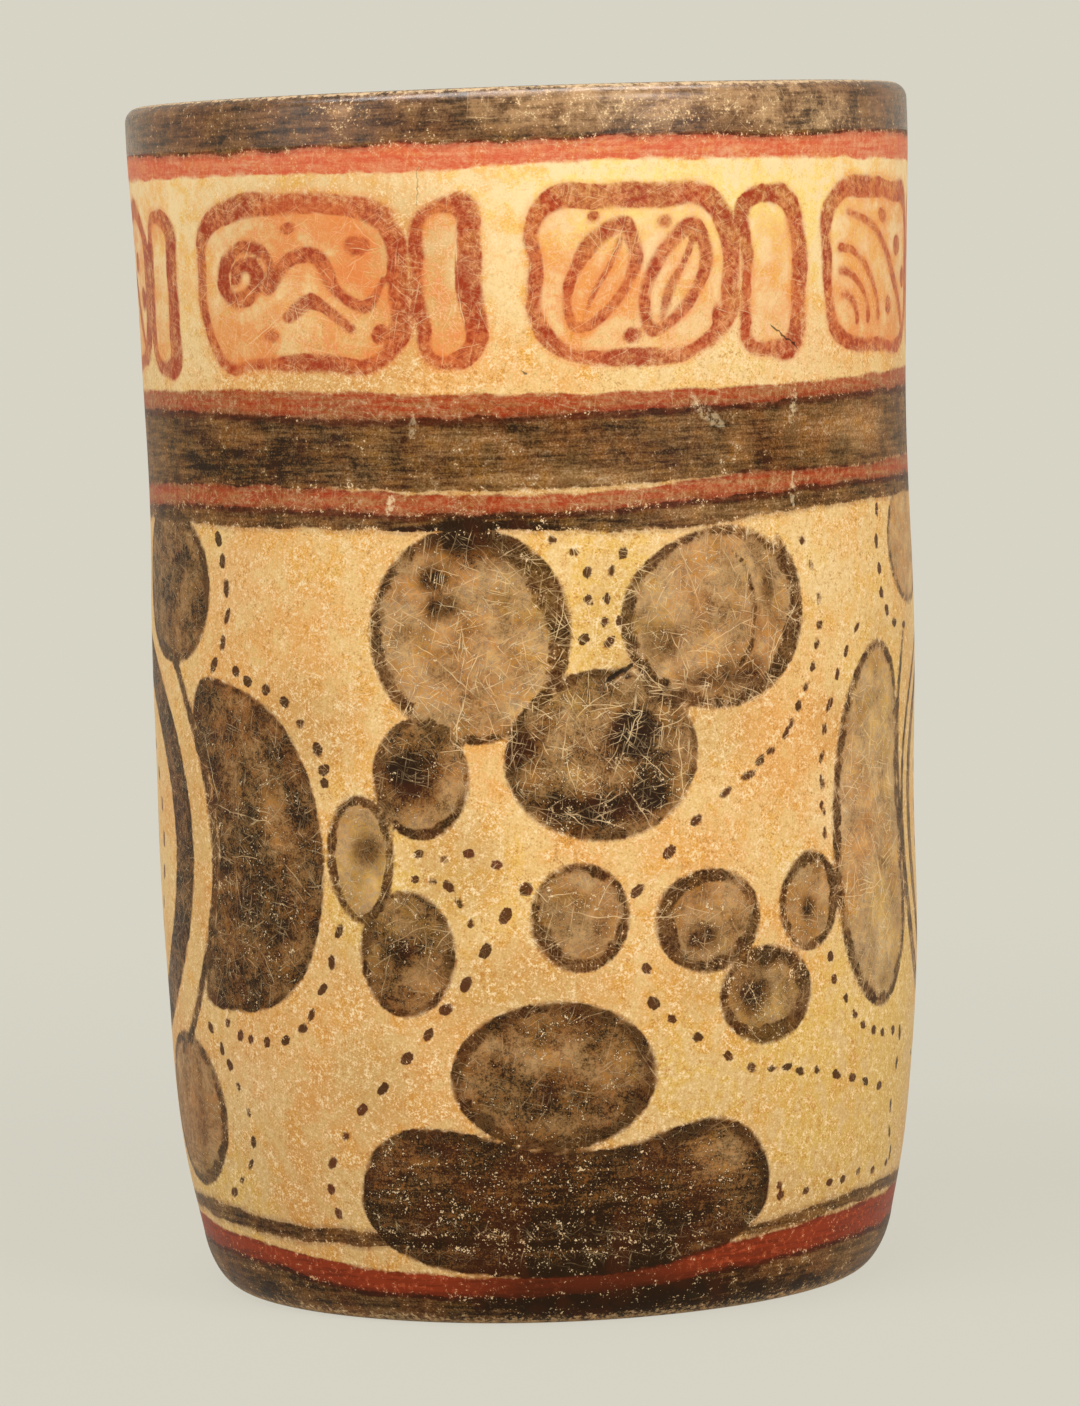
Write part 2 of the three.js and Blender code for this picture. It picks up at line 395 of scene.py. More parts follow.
# Medallions: nested ovals round one centre. Each band is (share of the half size outside, share inside,
# tone), and the space left between two bands is bare cream with a ring of flecks
medallions = (
    {"at": (-97.0, 77.6), "half": (38.8, 36.4), "bands": ((1.0, 0.79, 0.88), (0.34, 0.0, 0.9)),
     "flecks": {"ring": 0.56, "count": 22, "half": (0.7, 1.5)}},
    {"at": (97.0, 77.6), "half": (30.2, 33.5),
     "bands": ((1.0, 0.955, 0.8), (0.86, 0.77, 0.78), (0.36, 0.0, 0.86)),
     "flecks": {"ring": 0.57, "count": 18, "half": (0.7, 1.5)}},
)

# Loose brush lines: points, and half the width of the line at its two ends and in its middle
brushLines = (
    {"points": ((38, 126.5), (40.6, 121), (41, 115), (39, 108.5), (34.5, 103.4), (29, 101.4)),
     "half": (0.5, 1.7, 0.6)},
    {"points": ((30, 125), (32.6, 121), (33.4, 115), (33, 110), (31, 106.4)), "half": (0.3, 0.7, 0.5)},
    {"points": ((15.2, 106), (16.8, 103.2), (19, 101.2), (22, 100.2)), "half": (0.5, 1.2, 0.4)},
    {"points": ((-74, 111), (-67.4, 108.2), (-62.6, 101), (-58, 91), (-56, 81), (-56, 72), (-58.6, 62),
                (-62.4, 53.4), (-67, 46.4), (-72.6, 42)), "half": (0.8, 1.2, 0.9)},
    {"points": ((72.4, 108), (69.8, 99), (69.2, 88), (70, 75), (72.4, 64), (77, 54), (84, 46.6)),
     "half": (0.6, 0.9, 0.5)},
)
ringInner = 0.4  # how crisp the inner side of a ring is where the spot gives nothing else
bandLine = 0.7  # width of the dark line round a medallion's band


# (azimuth, height) points laid flat in mm round their middle: the middle, half the size and the flat points
def laidFlat(points):
    points = np.array(points, float)
    middle = (points.min(0) + points.max(0)) / 2
    flat = (points - middle) * (mmPerDegree, 1)
    return middle, np.ptp(flat, 0) / 2, flat


# Runs a distance function only on the points near a shape. The rest keep the far value
def nearShape(azimuth, height, at, half, distances, margin=7.0):
    side, up = acrossFrom(azimuth, at[0]), height - at[1]
    near = (np.abs(side) < half[0] + margin) & (np.abs(up) < half[1] + margin)
    result = np.full((2, len(height)), farAway)
    if near.any():
        result[:, near] = distances(side[near], up[near])
    return np.clip(result, -farAway, farAway)


# A spot's distance, and that of the ring along its edge, which fades on its inner side
def ringed(distance, across, up, shape):
    width = shape["ring"] + roundBumps(np.degrees(np.arctan2(up, across)), shape.get("heavy", ()))
    return np.array([distance, np.maximum(distance, (-distance - width) * shape.get("inner", ringInner))])


# Place, half size, tone of the wash and distance function of every spot, medallion band and loose line
def spotShapes():
    for spot in ovals:
        def oval(across, up, spot=spot):
            return ringed(ovalDistance(across, up, spot["half"], spot.get("lumps", ())), across, up, spot)
        yield spot["at"], spot["half"], spot["tone"], oval
    for shape in outlines:
        middle, half, flat = laidFlat(shape["points"])

        def blot(across, up, shape=shape, line=smoothLine(flat)):
            return ringed(outlineDistance(across, up, line), across, up, shape)
        yield middle, half, shape["tone"], blot
    for medal in medallions:
        for outer, inner, tone in medal["bands"]:
            def band(across, up, half=np.array(medal["half"]), outer=outer, inner=inner):
                distance = ovalDistance(across, up, half * outer)
                if inner:
                    distance = np.maximum(distance, -ovalDistance(across, up, half * inner))
                return np.array([distance, np.maximum(distance, -distance - bandLine)])
            yield medal["at"], medal["half"], tone, band
    for stroke in brushLines:
        middle, half, flat = laidFlat(stroke["points"])

        def line(across, up, points=smoothLine(flat, closed=False), widths=stroke["half"]):
            distance = openLineDistance(across, up, points, widths)
            return np.array([np.full_like(distance, farAway), distance])
        yield middle, half, 0.5, line


# The spots: distance to their washed inside, the wash's tone, and distance to their dark rings and lines
def spotPaint(azimuth, height):
    wash, dark = np.full((2, len(height)), farAway)
    tone = np.full(len(height), 0.5)
    for at, half, washTone, distances in spotShapes():
        inside, line = nearShape(azimuth, height, at, half, distances)
        tone = np.where(inside < wash, washTone, tone)
        wash = np.minimum(wash, inside)
        dark = np.minimum(dark, line)
    return wash, tone, dark


# Rows of dots: places, half a dot's length along the row and half its width, and how far it turns red-brown
dotRows = (
    {"at": ((-52, 128.6), (-51, 125), (-50.2, 120.7), (-50.2, 116), (-51.5, 111.6), (-54, 107.8)),
     "half": (1.55, 0.85), "warmth": 0.1},
    {"at": ((-48.6, 107), (-46, 105.6), (-42.2, 104.3), (-38.7, 102.4), (-35.8, 98.9), (-33, 94.8),
            (-32, 91.6), (-32, 89.4)), "half": (1.15, 1.0), "warmth": 0.1},
    {"at": ((3, 128), (6, 125.8), (8, 122.6), (8, 118), (10.2, 114.4), (7.2, 111.9)), "half": (1.05, 0.8),
     "warmth": 0.2},
    {"at": ((13.2, 125.5), (11.4, 122.6), (10.6, 118.2), (12.4, 114.4), (10.8, 111.2)),
     "half": (1.15, 0.75), "warmth": 0.1},
    {"at": ((43, 125.6), (44.6, 121.4), (46, 116), (46, 111.6), (45.4, 108.6), (44.4, 105), (43, 101.8),
            (41.4, 98.8), (40, 96.2), (38.8, 94.4), (36, 92), (34, 90.6)), "half": (1.1, 0.75),
     "warmth": 0.2},
    {"at": ((31.8, 88.4), (28, 86), (23.2, 81.8), (19, 77), (14, 71)), "half": (1.5, 0.85), "warmth": 0.3},
    {"at": ((-10, 78), (-6, 76.2), (-2, 72.2)), "half": (1.25, 0.85), "warmth": 0.9},
    {"at": ((-2, 72.2), (-5, 67.9), (-8, 62.4), (-11, 57), (-14, 52.9), (-17, 48.7), (-20.4, 44.8),
            (-24.4, 39.7)), "half": (1.45, 0.85), "warmth": 0.3},
    {"at": ((-28, 36.1), (-31.2, 31.6), (-34, 27), (-34.8, 22.6), (-34, 18.5)), "half": (1.2, 0.8),
     "warmth": 0.8},
    {"at": ((-17.4, 78), (-13.6, 77.2)), "half": (1.15, 0.65), "warmth": 0.2},
    {"at": ((-18, 74), (-15.6, 73.8), (-13, 72.8), (-11.6, 70.2), (-10, 66.8)), "half": (1.1, 0.65),
     "warmth": 0.2},
    {"at": ((-30.4, 65.4), (-32, 60.2), (-34, 55.6), (-36.2, 51.4), (-38, 48.9), (-41.4, 46.8)),
     "half": (1.25, 0.7), "warmth": 0.25},
    {"at": ((-45.4, 46.2), (-49, 46.4), (-51.6, 46.7), (-54.8, 48.6), (-58, 52)), "half": (0.85, 0.95),
     "warmth": 0.5},
    {"at": ((-60, 47.2), (-57, 44), (-55, 41.4), (-53, 38.1), (-51, 34), (-50.6, 29), (-52, 25), (-55, 22),
            (-58, 19.6)), "half": (1.25, 0.75), "warmth": 0.15},
    {"at": ((15.2, 58.3), (16.2, 52.8), (19, 50), (23, 46.6), (28, 43), (32, 40.7)), "half": (1.15, 0.9),
     "warmth": 0.3},
    {"at": ((35.6, 40.2), (38.6, 40), (41.4, 39), (45, 38.7), (49.8, 37.2), (54, 36.1), (58, 34.9),
            (63, 33.3)), "half": (1.25, 0.75), "warmth": 0.1},
    {"at": ((38.2, 20.4), (38.6, 18.6)), "half": (0.9, 0.85), "warmth": 0.6},
    {"at": ((44, 18.7), (49.6, 19.2), (53, 19.2), (57.6, 19.8), (63, 19.1), (69, 19.4)),
     "half": (0.95, 0.75), "warmth": 0.3},
    {"at": ((48, 57), (49, 53.2), (52, 49.6), (54.4, 46.6), (57, 44.5), (60.4, 43), (63.6, 42.2),
            (68, 41.9)), "half": (1.05, 0.75), "warmth": 0.3},
    {"at": ((71.4, 41), (70.6, 35.9), (68.6, 29), (69, 24.6), (70.6, 21)), "half": (1.5, 0.6),
     "warmth": 0.2},
    {"at": ((55, 110.4), (52.2, 106.8), (50, 103.4), (48, 98.4), (46.8, 94.6), (46, 90), (46, 86),
            (46, 81.6), (46.4, 77.6)), "half": (1.4, 0.6), "warmth": 0.3},
    {"at": ((62.6, 129.2), (62, 124.2), (62.6, 119.6), (63, 115.6), (65, 112.4), (68, 110.4), (73, 109.4)),
     "half": (1.3, 0.7), "warmth": 0.3},
    # round the back
    {"at": tuple((148 - 3 * math.sin(i), 106 - 5.4 * i) for i in range(14)), "half": (1.3, 0.85),
     "warmth": 0.3},
    {"at": tuple((200 + 2.4 * math.sin(0.8 * i), 124 - 5.2 * i) for i in range(16)), "half": (1.3, 0.85),
     "warmth": 0.2},
    {"at": tuple((176 + 1.6 * math.cos(i), 127 - 4.6 * i) for i in range(5)), "half": (1.1, 0.9),
     "warmth": 0.2},
    {"at": tuple((183 - 2.2 * i, 78 - 4.4 * abs(i - 2)) for i in range(5)), "half": (1.1, 0.9),
     "warmth": 0.5},
    {"at": tuple((140 + 4 * i, 40 - 2.2 * i) for i in range(5)), "half": (1.2, 0.9), "warmth": 0.6},
    {"at": tuple((190 + 4 * i, 27 + 3 * i) for i in range(6)), "half": (1.2, 0.9), "warmth": 0.4},
    {"at": tuple((82 + 5.4 * i, 36 - 0.9 * i + 0.12 * i * i) for i in range(9)), "half": (1.2, 0.8),
     "warmth": 0.2},
    {"at": tuple((240 + 5.2 * i, 38 - 0.7 * i) for i in range(7)), "half": (1.2, 0.8), "warmth": 0.3},
)
dotLook = {
    "seed": 11,
    "sizes": (0.78, 1.1),  # least and most of the row's size
    "lean": 0.35,  # most turn out of the row, in radians
    "warmer": (-0.15, 0.2),
    "reach": 5.0,
    "far": 3.0,
}


# The dots: distance to the nearest of them, each a slightly different oval, and how warm its colour is
def dotPaint(azimuth, height):
    draw = np.random.default_rng(dotLook["seed"])
    nearest = np.full(len(height), dotLook["far"])
    warmth = np.zeros(len(height))

    def add(place, middle, half, warm, lean):
        across = acrossFrom(azimuth, place)
        near = (np.abs(across) < dotLook["reach"]) & (np.abs(height - middle) < dotLook["reach"])
        side, up = across[near], height[near] - middle
        side, up = side * math.cos(lean) + up * math.sin(lean), up * math.cos(lean) - side * math.sin(lean)
        distance = np.minimum(ovalDistance(side, up, half), dotLook["far"])
        warmth[near] = np.where(distance < nearest[near], warm, warmth[near])
        nearest[near] = np.minimum(nearest[near], distance)

    for row in dotRows:
        places = np.array(row["at"], float)
        steps = np.gradient(places * (mmPerDegree, 1), axis=0)
        for (place, middle), step in zip(places, steps):
            half = np.array(row["half"]) * draw.uniform(*dotLook["sizes"], 2)
            lean = math.atan2(step[1], step[0]) + draw.uniform(-dotLook["lean"], dotLook["lean"])
            add(place, middle, half, row["warmth"] + draw.uniform(*dotLook["warmer"]), lean)
    for medal in medallions:
        flecks = medal["flecks"]
        wide, tall = np.array(medal["half"]) * flecks["ring"]
        for turn in np.linspace(0, 2 * math.pi, flecks["count"], endpoint=False) + draw.uniform(-0.05, 0.05):
            place = medal["at"][0] + wide * math.cos(turn) / mmPerDegree
            add(place, medal["at"][1] + tall * math.sin(turn), flecks["half"], 1.0, turn)
    return nearest, warmth


# The band of scrolls under the rim: rounded frames with an upright bar beside each, round the vessel
scrollBand = {
    "frames": (  # azimuth of the left side, width of the frame, width of the bar, design
        (-54.0, 42.6, 10.6, 0), (0.4, 35.2, 13.2, 1), (48.6, 38.0, 11.4, 2), (99.6, 39.0, 11.0, 0),
        (151.4, 36.6, 12.4, 2), (202.4, 40.0, 10.8, 1), (254.6, 37.4, 11.6, 2),
    ),
    "bottom": 155.4,
    "height": 28.0,
    "corner": 9.5,
    "barGap": 0.9,
    "barHeight": 27.0,
    "barCorner": 4.8,
    "line": 1.2,  # half the width of a brush line
    "heavyLine": 1.95,
    "designWidth": 36.5,  # width of a frame that the designs are drawn for
    "unsteady": ((0.45, 4.1, 5.3), (0.2, 1.7, 2.1)),  # slow and quick waver: amount, pace up and pace across
    "seed": 23,
    "halfTurn": 26,  # azimuth from a frame's left side to the middle of what it paints
}


# A coil: from the outer radius to the inner one while it turns
def coilLine(centre, outer, inner, startTurn, turns, steps=26):
    t = np.linspace(0, 1, steps)
    turn = np.radians(startTurn) + 2 * math.pi * turns * t
    radius = outer + (inner - outer) * t
    return np.stack([centre[0] + radius * np.cos(turn), centre[1] + radius * np.sin(turn)], 1)


# The designs in the frames: brush lines (line, half widths at ends and middle), and discs (centre, halves)
def scrollDesign(which):
    def openLine(*points):
        return smoothLine(points, closed=False)

    def leaf(*points):
        line = smoothLine(points)
        return np.vstack([line, line[:1]]), (0.9, 1.3, 0.9)

    if which == 0:  # a coil that runs on as a wave, over a row of discs
        wave = openLine((15.0, 13.4), (18.6, 17.8), (23.4, 18.2), (26.4, 13.2), (30.6, 11.0), (33.6, 14.8))
        strokes = [
            (coilLine((10.2, 15.6), 5.8, 1.3, -20, 1.55), (0.7, 1.3, 1.0)),
            (wave, (1.1, 1.2, 0.6)),
            (openLine((17.6, 8.6), (22.4, 11.0), (27.4, 7.4)), (0.5, 1.0, 0.6)),
        ]
        discs = [((29.6, 20.6), (2.1, 1.8)), ((18.8, 23.0), (1.3, 1.0)), ((14.0, 5.6), (1.5, 1.1)),
                 ((32.0, 6.2), (1.3, 1.5))]
    elif which == 1:  # two leaves that part from one stem
        strokes = [
            leaf((8, 6), (7, 13), (11, 19.4), (17.2, 22), (17.6, 15.4), (14.2, 9.4)),
            leaf((21, 5.6), (19.8, 11.6), (22.6, 17.6), (29, 21.4), (30.4, 14.8), (27, 8.6)),
            (openLine((9.6, 7.6), (11.8, 13), (16, 20)), (0.4, 0.8, 0.4)),
            (openLine((22.8, 7.4), (24.6, 13), (28.6, 19.4)), (0.4, 0.8, 0.4)),
        ]
        discs = [((12.0, 23.6), (0.9, 0.8)), ((24.0, 22.6), (1.2, 1.0)), ((33.0, 6.6), (1.1, 1.8)),
                 ((17.8, 4.6), (1.5, 1.1))]
    else:  # a fan of arcs in one corner, and a stem with three buds
        arcs = [coilLine((5.0, 4.6), radius, radius, 4, 0.24) for radius in (4.6, 8.4, 12.2)]
        strokes = [(arc, (0.8, 1.1, 0.8)) for arc in arcs]
        stem = openLine((8.0, 22.6), (15.0, 21.0), (21.6, 16.6), (26.6, 10.8), (31.0, 4.6))
        strokes.append((stem, (0.7, 1.3, 0.8)))
        discs = [((20.4, 22.4), (2.0, 1.5)), ((27.2, 17.8), (2.0, 1.7)), ((31.8, 12.0), (1.6, 1.8)),
                 ((22.0, 8.0), (1.4, 1.6))]
    return strokes, discs


# Rounded rectangle: distance to its inner box, less the corner radius
def roundedBoxDistance(across, up, width, height, corner):
    side = np.abs(across - width / 2) - (width / 2 - corner)
    rise = np.abs(up - height / 2) - (height / 2 - corner)
    outside = np.hypot(np.maximum(side, 0), np.maximum(rise, 0))
    return outside + np.minimum(np.maximum(side, rise), 0) - corner


# The scrolls: distance to their brush lines, and to the washed inside of the frames and bars
def scrollPaint(azimuth, height):
    band, draw = scrollBand, np.random.default_rng(scrollBand["seed"])
    line, wash = np.full((2, len(height)), farAway)
    tall, thin = band["height"], band["line"]
    heavy = band["heavyLine"] - thin
    for start, width, barWidth, design in band["frames"]:
        across = acrossFrom(azimuth, start + band["halfTurn"]) + band["halfTurn"] * mmPerDegree
        up = height - band["bottom"] - draw.uniform(-0.3, 0.3)
        near = (across > -4) & (across < width + barWidth + 6) & (np.abs(up - tall / 2) < tall / 2 + 4)
        a, u = across[near], up[near]
        sway = draw.uniform(0, 2 * math.pi, 4)
        (slow, slowUp, slowAcross), (quick, quickUp, quickAcross) = band["unsteady"]
        a, u = (a + slow * np.sin(u / slowUp + sway[0]) + quick * np.sin(u / quickUp + sway[1]),
                u + slow * np.sin(a / slowAcross + sway[2]) + quick * np.sin(a / quickAcross + sway[3]))
        frameEdge = roundedBoxDistance(a, u, width, tall, band["corner"])
        barSide = width + band["barGap"]
        barEdge = roundedBoxDistance(a - barSide, u, barWidth, band["barHeight"], band["barCorner"])
        # frames are heavier at the top and on the right, and bars on the right
        top, right = smoothStep(tall * 0.7, tall * 0.95, u), smoothStep(width * 0.8, width, a) * 0.8
        barRight = smoothStep(barSide + barWidth * 0.4, barSide + barWidth * 0.8, a)
        frameLine = np.abs(frameEdge + thin) - thin - heavy * np.maximum(top, right)
        barLine = np.abs(barEdge + 1.0) - thin * 0.95 - heavy * barRight
        found = np.minimum(frameLine, barLine)
        strokes, discs = scrollDesign(design)
        stretched = a * band["designWidth"] / width
        for stroke, half in strokes:
            found = np.minimum(found, openLineDistance(stretched, u, stroke, half))
        for centre, half in discs:
            found = np.minimum(found, ovalDistance(stretched - centre[0], u - centre[1], half))
        line[near] = np.minimum(line[near], found)
        wash[near] = np.minimum(wash[near], np.minimum(frameEdge, barEdge) + 1.0)
    return np.clip(line, -farAway, farAway), np.clip(wash, -farAway, farAway)


# Soft places on the surface, each as azimuth, height, half width, half height and amount. These make the dark
# slip darker (+) or paler (-). Most follow the uneven paint; the one at (6, 6.8) across the foot's middle is
# painted shade, and darkens the red there to umber too
shadeSpots = (
    (-14.4, 122.4, 2.9, 2.7, 0.5), (-13.2, 117.4, 3.5, 2.3, 0.5), (-16.4, 113.6, 3.8, 1.8, 0.12),
    (-6, 128.0, 13, 3.8, 0.42), (-14, 128.6, 10, 2.4, 0.24), (-2, 106, 9, 7, -0.05),
    (18.6, 110.6, 4.0, 3.4, 0.3), (24, 104.6, 3.4, 1.8, 0.3), (36, 118.4, 1.6, 4.2, 0.4),
    (31.4, 105.6, 4.4, 2.6, 0.4), (24, 123, 8, 3, -0.04), (35.2, 112.4, 1.5, 5, -0.16),
    (29, 103.6, 7, 2.4, 0.2), (-2.6, 94.2, 4.4, 4.2, 0.36), (14.2, 96.2, 5.4, 4.0, 0.42),
    (6, 98, 4, 7, -0.04), (-1, 87, 4.4, 3.2, 0.18), (5.5, 84.2, 7, 3.2, 0.32), (12, 84.6, 6, 3.4, 0.34),
    (16.6, 88.2, 4.0, 5.4, 0.34), (5, 101, 9, 3.6, -0.05), (4, 89.6, 6, 2.0, -0.12),
    (-18.2, 90.7, 5.2, 4.8, 0.42), (-14, 97, 4, 1.8, 0.16), (-12, 86, 3.4, 4.6, -0.12),
    (-25.6, 78.6, 3.0, 3.4, 0.5), (-28, 73, 2.6, 3, 0.12), (-21.2, 62.3, 2.8, 3.0, 0.34),
    (-19, 57, 4.2, 2.8, -0.14), (-22, 66, 3.6, 2.6, -0.08), (5, 69, 3.6, 2.6, 0.18),
    (24, 62.6, 3.0, 2.2, 0.42), (27, 67.6, 5, 2.4, -0.1), (43, 65.8, 2.0, 2.0, 0.5),
    (35, 58.4, 4.6, 1.9, 0.34), (32.8, 52.4, 3.2, 3.2, 0.38), (36.4, 49.6, 4, 2.4, -0.12),
    (2, 38, 9, 3.2, 0.1), (-3, 45.6, 9, 4, -0.16), (7, 43.6, 6, 4, -0.12), (-60, 34, 3, 8, -0.06),
    (-66.6, 33, 3.4, 9, 0.16), (27, 27, 7, 4.5, -0.42), (31, 20, 4.5, 4.4, -0.18), (-24, 27, 3, 6, -0.08),
    (4, 15, 26, 5, 0.12), (-47, 92, 6, 6, -0.16), (-40, 80, 4, 9, -0.12), (-44, 66, 7, 6, 0.06),
    (-50, 101, 5, 3.4, -0.14), (-38.6, 60, 4, 4, -0.08), (-44, 142.0, 24, 6.0, 0.14),
    (-46, 145.4, 9, 1.8, -0.16), (-33, 140.6, 6, 1.8, -0.1), (-18.2, 142.4, 2.0, 6, 0.06),
    (-10.9, 139.4, 4, 1.6, 0.08), (-3, 146.2, 6, 1.0, 0.1), (-8.2, 144.2, 8, 2, -0.12),
    (13, 145.3, 7, 1.7, 0.05), (17.9, 140.6, 6, 2.3, 0.06), (35.9, 141.4, 5, 3.4, 0.1),
    (32.6, 142, 3, 3.6, -0.14), (58, 143.5, 10, 4, -0.24), (44, 144, 8, 3, -0.14),
    (5, 137.6, 16, 1.3, -0.22), (15, 196.8, 22, 3.0, -0.1), (38, 195, 14, 4, -0.04),
    (5, 193.8, 14, 1.8, -0.04), (-25, 197, 2.4, 1.2, -0.4), (-59, 195.6, 11, 3, 0.02),
    (-40, 193.6, 12, 1.8, 0.02), (-13, 194.6, 9, 1.6, 0.06), (48, 194, 9, 2.6, 0.06),
    # (6, 6.8): painted shade across the foot's middle, on its red and black
    (62, 194, 5, 3, -0.12), (30, 131.2, 14, 1.4, -0.1), (6, 6.8, 24, 4.6, 0.4), (20, 2.6, 44, 3.6, 0.2),
    (-52, 4.4, 24, 4.0, 0.08), (58, 5, 16, 4, -0.04), (-44, 14.7, 26, 1.6, 0.05), (165, 120, 5, 3.2, 0.34),
    (158, 109, 4, 3.4, 0.3), (192, 116, 4, 3, 0.34), (178, 94, 4.4, 3.6, 0.34), (169, 86, 6, 2.6, 0.3),
    (156, 85, 3.4, 3.4, 0.34), (193, 80, 2.4, 3, 0.4), (171, 67, 2.6, 2.4, 0.34), (188, 58, 3, 3, 0.2),
    (153, 59, 2.4, 2.6, 0.34), (150, 143, 20, 2.2, 0.08), (200, 141, 16, 2.6, -0.1),
    (120, 144, 16, 2, 0.06), (250, 142, 18, 2.4, 0.07),
)

# Where the cream ground is dim (+) or paler (-). The tall strip at azimuth 75 is painted shade down the right
# side, where the wall turns away from the light
dimAndShadedPlaces = (
    (-30, 181, 28, 10, 0.3), (-16, 169, 12, 13, 0.4), (-28, 155, 14, 6, 0.3), (34, 157, 22, 8, -0.3),
    (-60, 155, 12, 7, -0.2), (20, 172, 7, 10, -0.15), (12, 112, 7, 14, 0.35), (25, 97, 11, 8, 0.35),
    (-36, 98, 12, 10, 0.45), (-12, 76, 9, 10, 0.5), (-26, 63, 12, 11, 0.3), (-3, 56, 16, 9, 0.4),
    # (75, 110): painted shade down the right side of the wall
    (-26, 41, 9, 9, 0.45), (25, 55, 8, 6, 0.3), (42, 18, 17, 5, 0.35), (75, 110, 8, 70, 0.25),
    (62, 108, 6, 6, 0.3), (-62, 78, 6, 26, 0.3), (50, 95, 7, 8, 0.25), (47, 122, 12, 8, -0.25),
    (-48, 122, 8, 8, -0.15), (48, 82, 7, 8, -0.2), (60, 55, 8, 8, -0.25), (-50, 40, 9, 8, -0.12),
    (160, 60, 24, 20, 0.3), (200, 120, 20, 14, -0.2), (210, 50, 20, 24, 0.25), (130, 165, 24, 10, 0.25),
)

# Where it leans to orange (+) or to yellow (-)
warmPlaces = (
    (20, 181, 30, 8, -1.0), (8, 118, 14, 16, -0.8), (-19, 160, 16, 12, 0.9), (-38, 154, 18, 5, 0.6),
    (-46, 108, 16, 18, 0.6), (56, 36, 26, 28, -0.9), (26, 44, 22, 14, -0.6), (-25, 70, 10, 12, -0.8),
    (-8, 72, 12, 10, -0.5), (-60, 19, 18, 9, -0.8), (-42, 42, 15, 11, 0.4), (40, 96, 14, 12, 0.5),
    (62, 104, 12, 16, -0.4), (48, 160, 14, 14, 0.4), (150, 100, 30, 30, 0.5), (190, 40, 30, 20, -0.6),
    (120, 160, 30, 14, -0.5), (230, 165, 26, 16, 0.6), (44, 122, 14, 10, -0.6), (30, 156, 15, 8, -0.6),
    (70, 62, 14, 52, -0.6), (-18, 171, 14, 12, 0.5), (48, 174, 30, 14, -0.7), (-34, 171, 15, 12, 0.7),
)

# How densely hair scratches lie, over or under the level of the rest
scratchedPlaces = (
    (8, 108, 46, 26, 0.6), (8, 94, 20, 16, 0.2), (-17, 90, 12, 12, -0.2), (30, 68, 30, 16, 0.2),
    (-45, 80, 20, 26, 0.2), (58, 78, 12, 30, 0.75), (-30, 170, 40, 16, 0.3),
    (20, 170, 40, 16, 0.3), (-8, 70, 20, 12, 0.3), (-30, 102, 20, 16, 0.15), (170, 100, 50, 30, 0.5),
    (97, 78, 30, 30, 0.25), (-97, 78, 34, 30, 0.2), (170, 42, 30, 16, 0.2), (14, 197, 32, 6, 0.6),
    (46, 195, 16, 6, 0.6), (-20, 198, 14, 4, 0.2), (150, 196, 60, 6, 0.3), (5, 6, 60, 9, -0.3),
    (2, 18, 46, 15, -0.36),
)
scratchedRest = 0.36

# Where flakes of the dark slip have come off in specks, over or under the level of the rest
flakedPlaces = (
    (3, 20, 38, 11, 0.5), (-20, 24, 12, 9, 0.3), (13.4, 104.7, 3.0, 1.6, 1.2), (2, 41, 18, 12, 0.2),
    (172, 21, 34, 11, 0.3), (172, 41, 18, 12, 0.2), (8, 88, 15, 8, 0.4), (28, 62, 14, 12, 0.45),
    (36, 52, 11, 9, 0.5), (43, 66, 9, 9, 0.35), (5, 67, 9, 9, 0.3), (-45, 70, 14, 24, 0.3),
    (-20, 62, 9, 10, 0.3), (-25, 197, 6, 2.6, 1.1), (15, 196, 26, 4, 0.6), (40, 194, 30, 4, 0.5),
    (34, 142, 8, 5, 0.3), (160, 196, 40, 4, 0.5), (0, 143, 300, 8, -0.5),
)
flakedRest = 0.16
placeCore, placeEdge = 0.35, 1.35  # full amount up to this share of the half size, and none from this one


# Sum of amounts that fade out with a soft edge from each place's middle
def softPlaces(azimuth, height, places):
    total = np.zeros_like(height)
    for place, middle, halfWidth, halfHeight, amount in places:
        away = np.hypot(acrossFrom(azimuth, place) / halfWidth, (height - middle) / halfHeight)
        total = total + amount * (1 - smoothStep(placeCore, placeEdge, away))
    return total


# Paint attributes that every outside has
commonAttributes = (
    "blackDistance", "redDistance", "shade", "groundWarmth", "groundDim", "scratched", "flaked")


def commonPaint(azimuth, height, inside=False):
    black, red = bandDistances(azimuth, height, inside)
    shade, warmth, dim, scratched, flaked = (
        softPlaces(azimuth, height, places)
        for places in (shadeSpots, warmPlaces, dimAndShadedPlaces, scratchedPlaces, flakedPlaces))
    scratched = np.clip(scratchedRest + scratched, 0, 1.2)
    flaked = np.clip(flakedRest + flaked, -1.2, 1.2)
    return dict(zip(commonAttributes, (black, red, shade, warmth, dim, scratched, flaked)))


def lowerPaint(azimuth, height, radius):
    paint = commonPaint(azimuth, height)
    paint["washDistance"], paint["washTone"], paint["lineDistance"] = spotPaint(azimuth, height)
    paint["dotDistance"], paint["dotWarmth"] = dotPaint(azimuth, height)
    return paint


def upperPaint(azimuth, height, radius):
    paint = commonPaint(azimuth, height)
    paint["scrollDistance"], paint["scrollWash"] = scrollPaint(azimuth, height)
    return paint


lipWear = {"overlap": 0.8, "edge": 0.85, "spread": 0.8, "deepest": 1.6, "rest": 0.2}


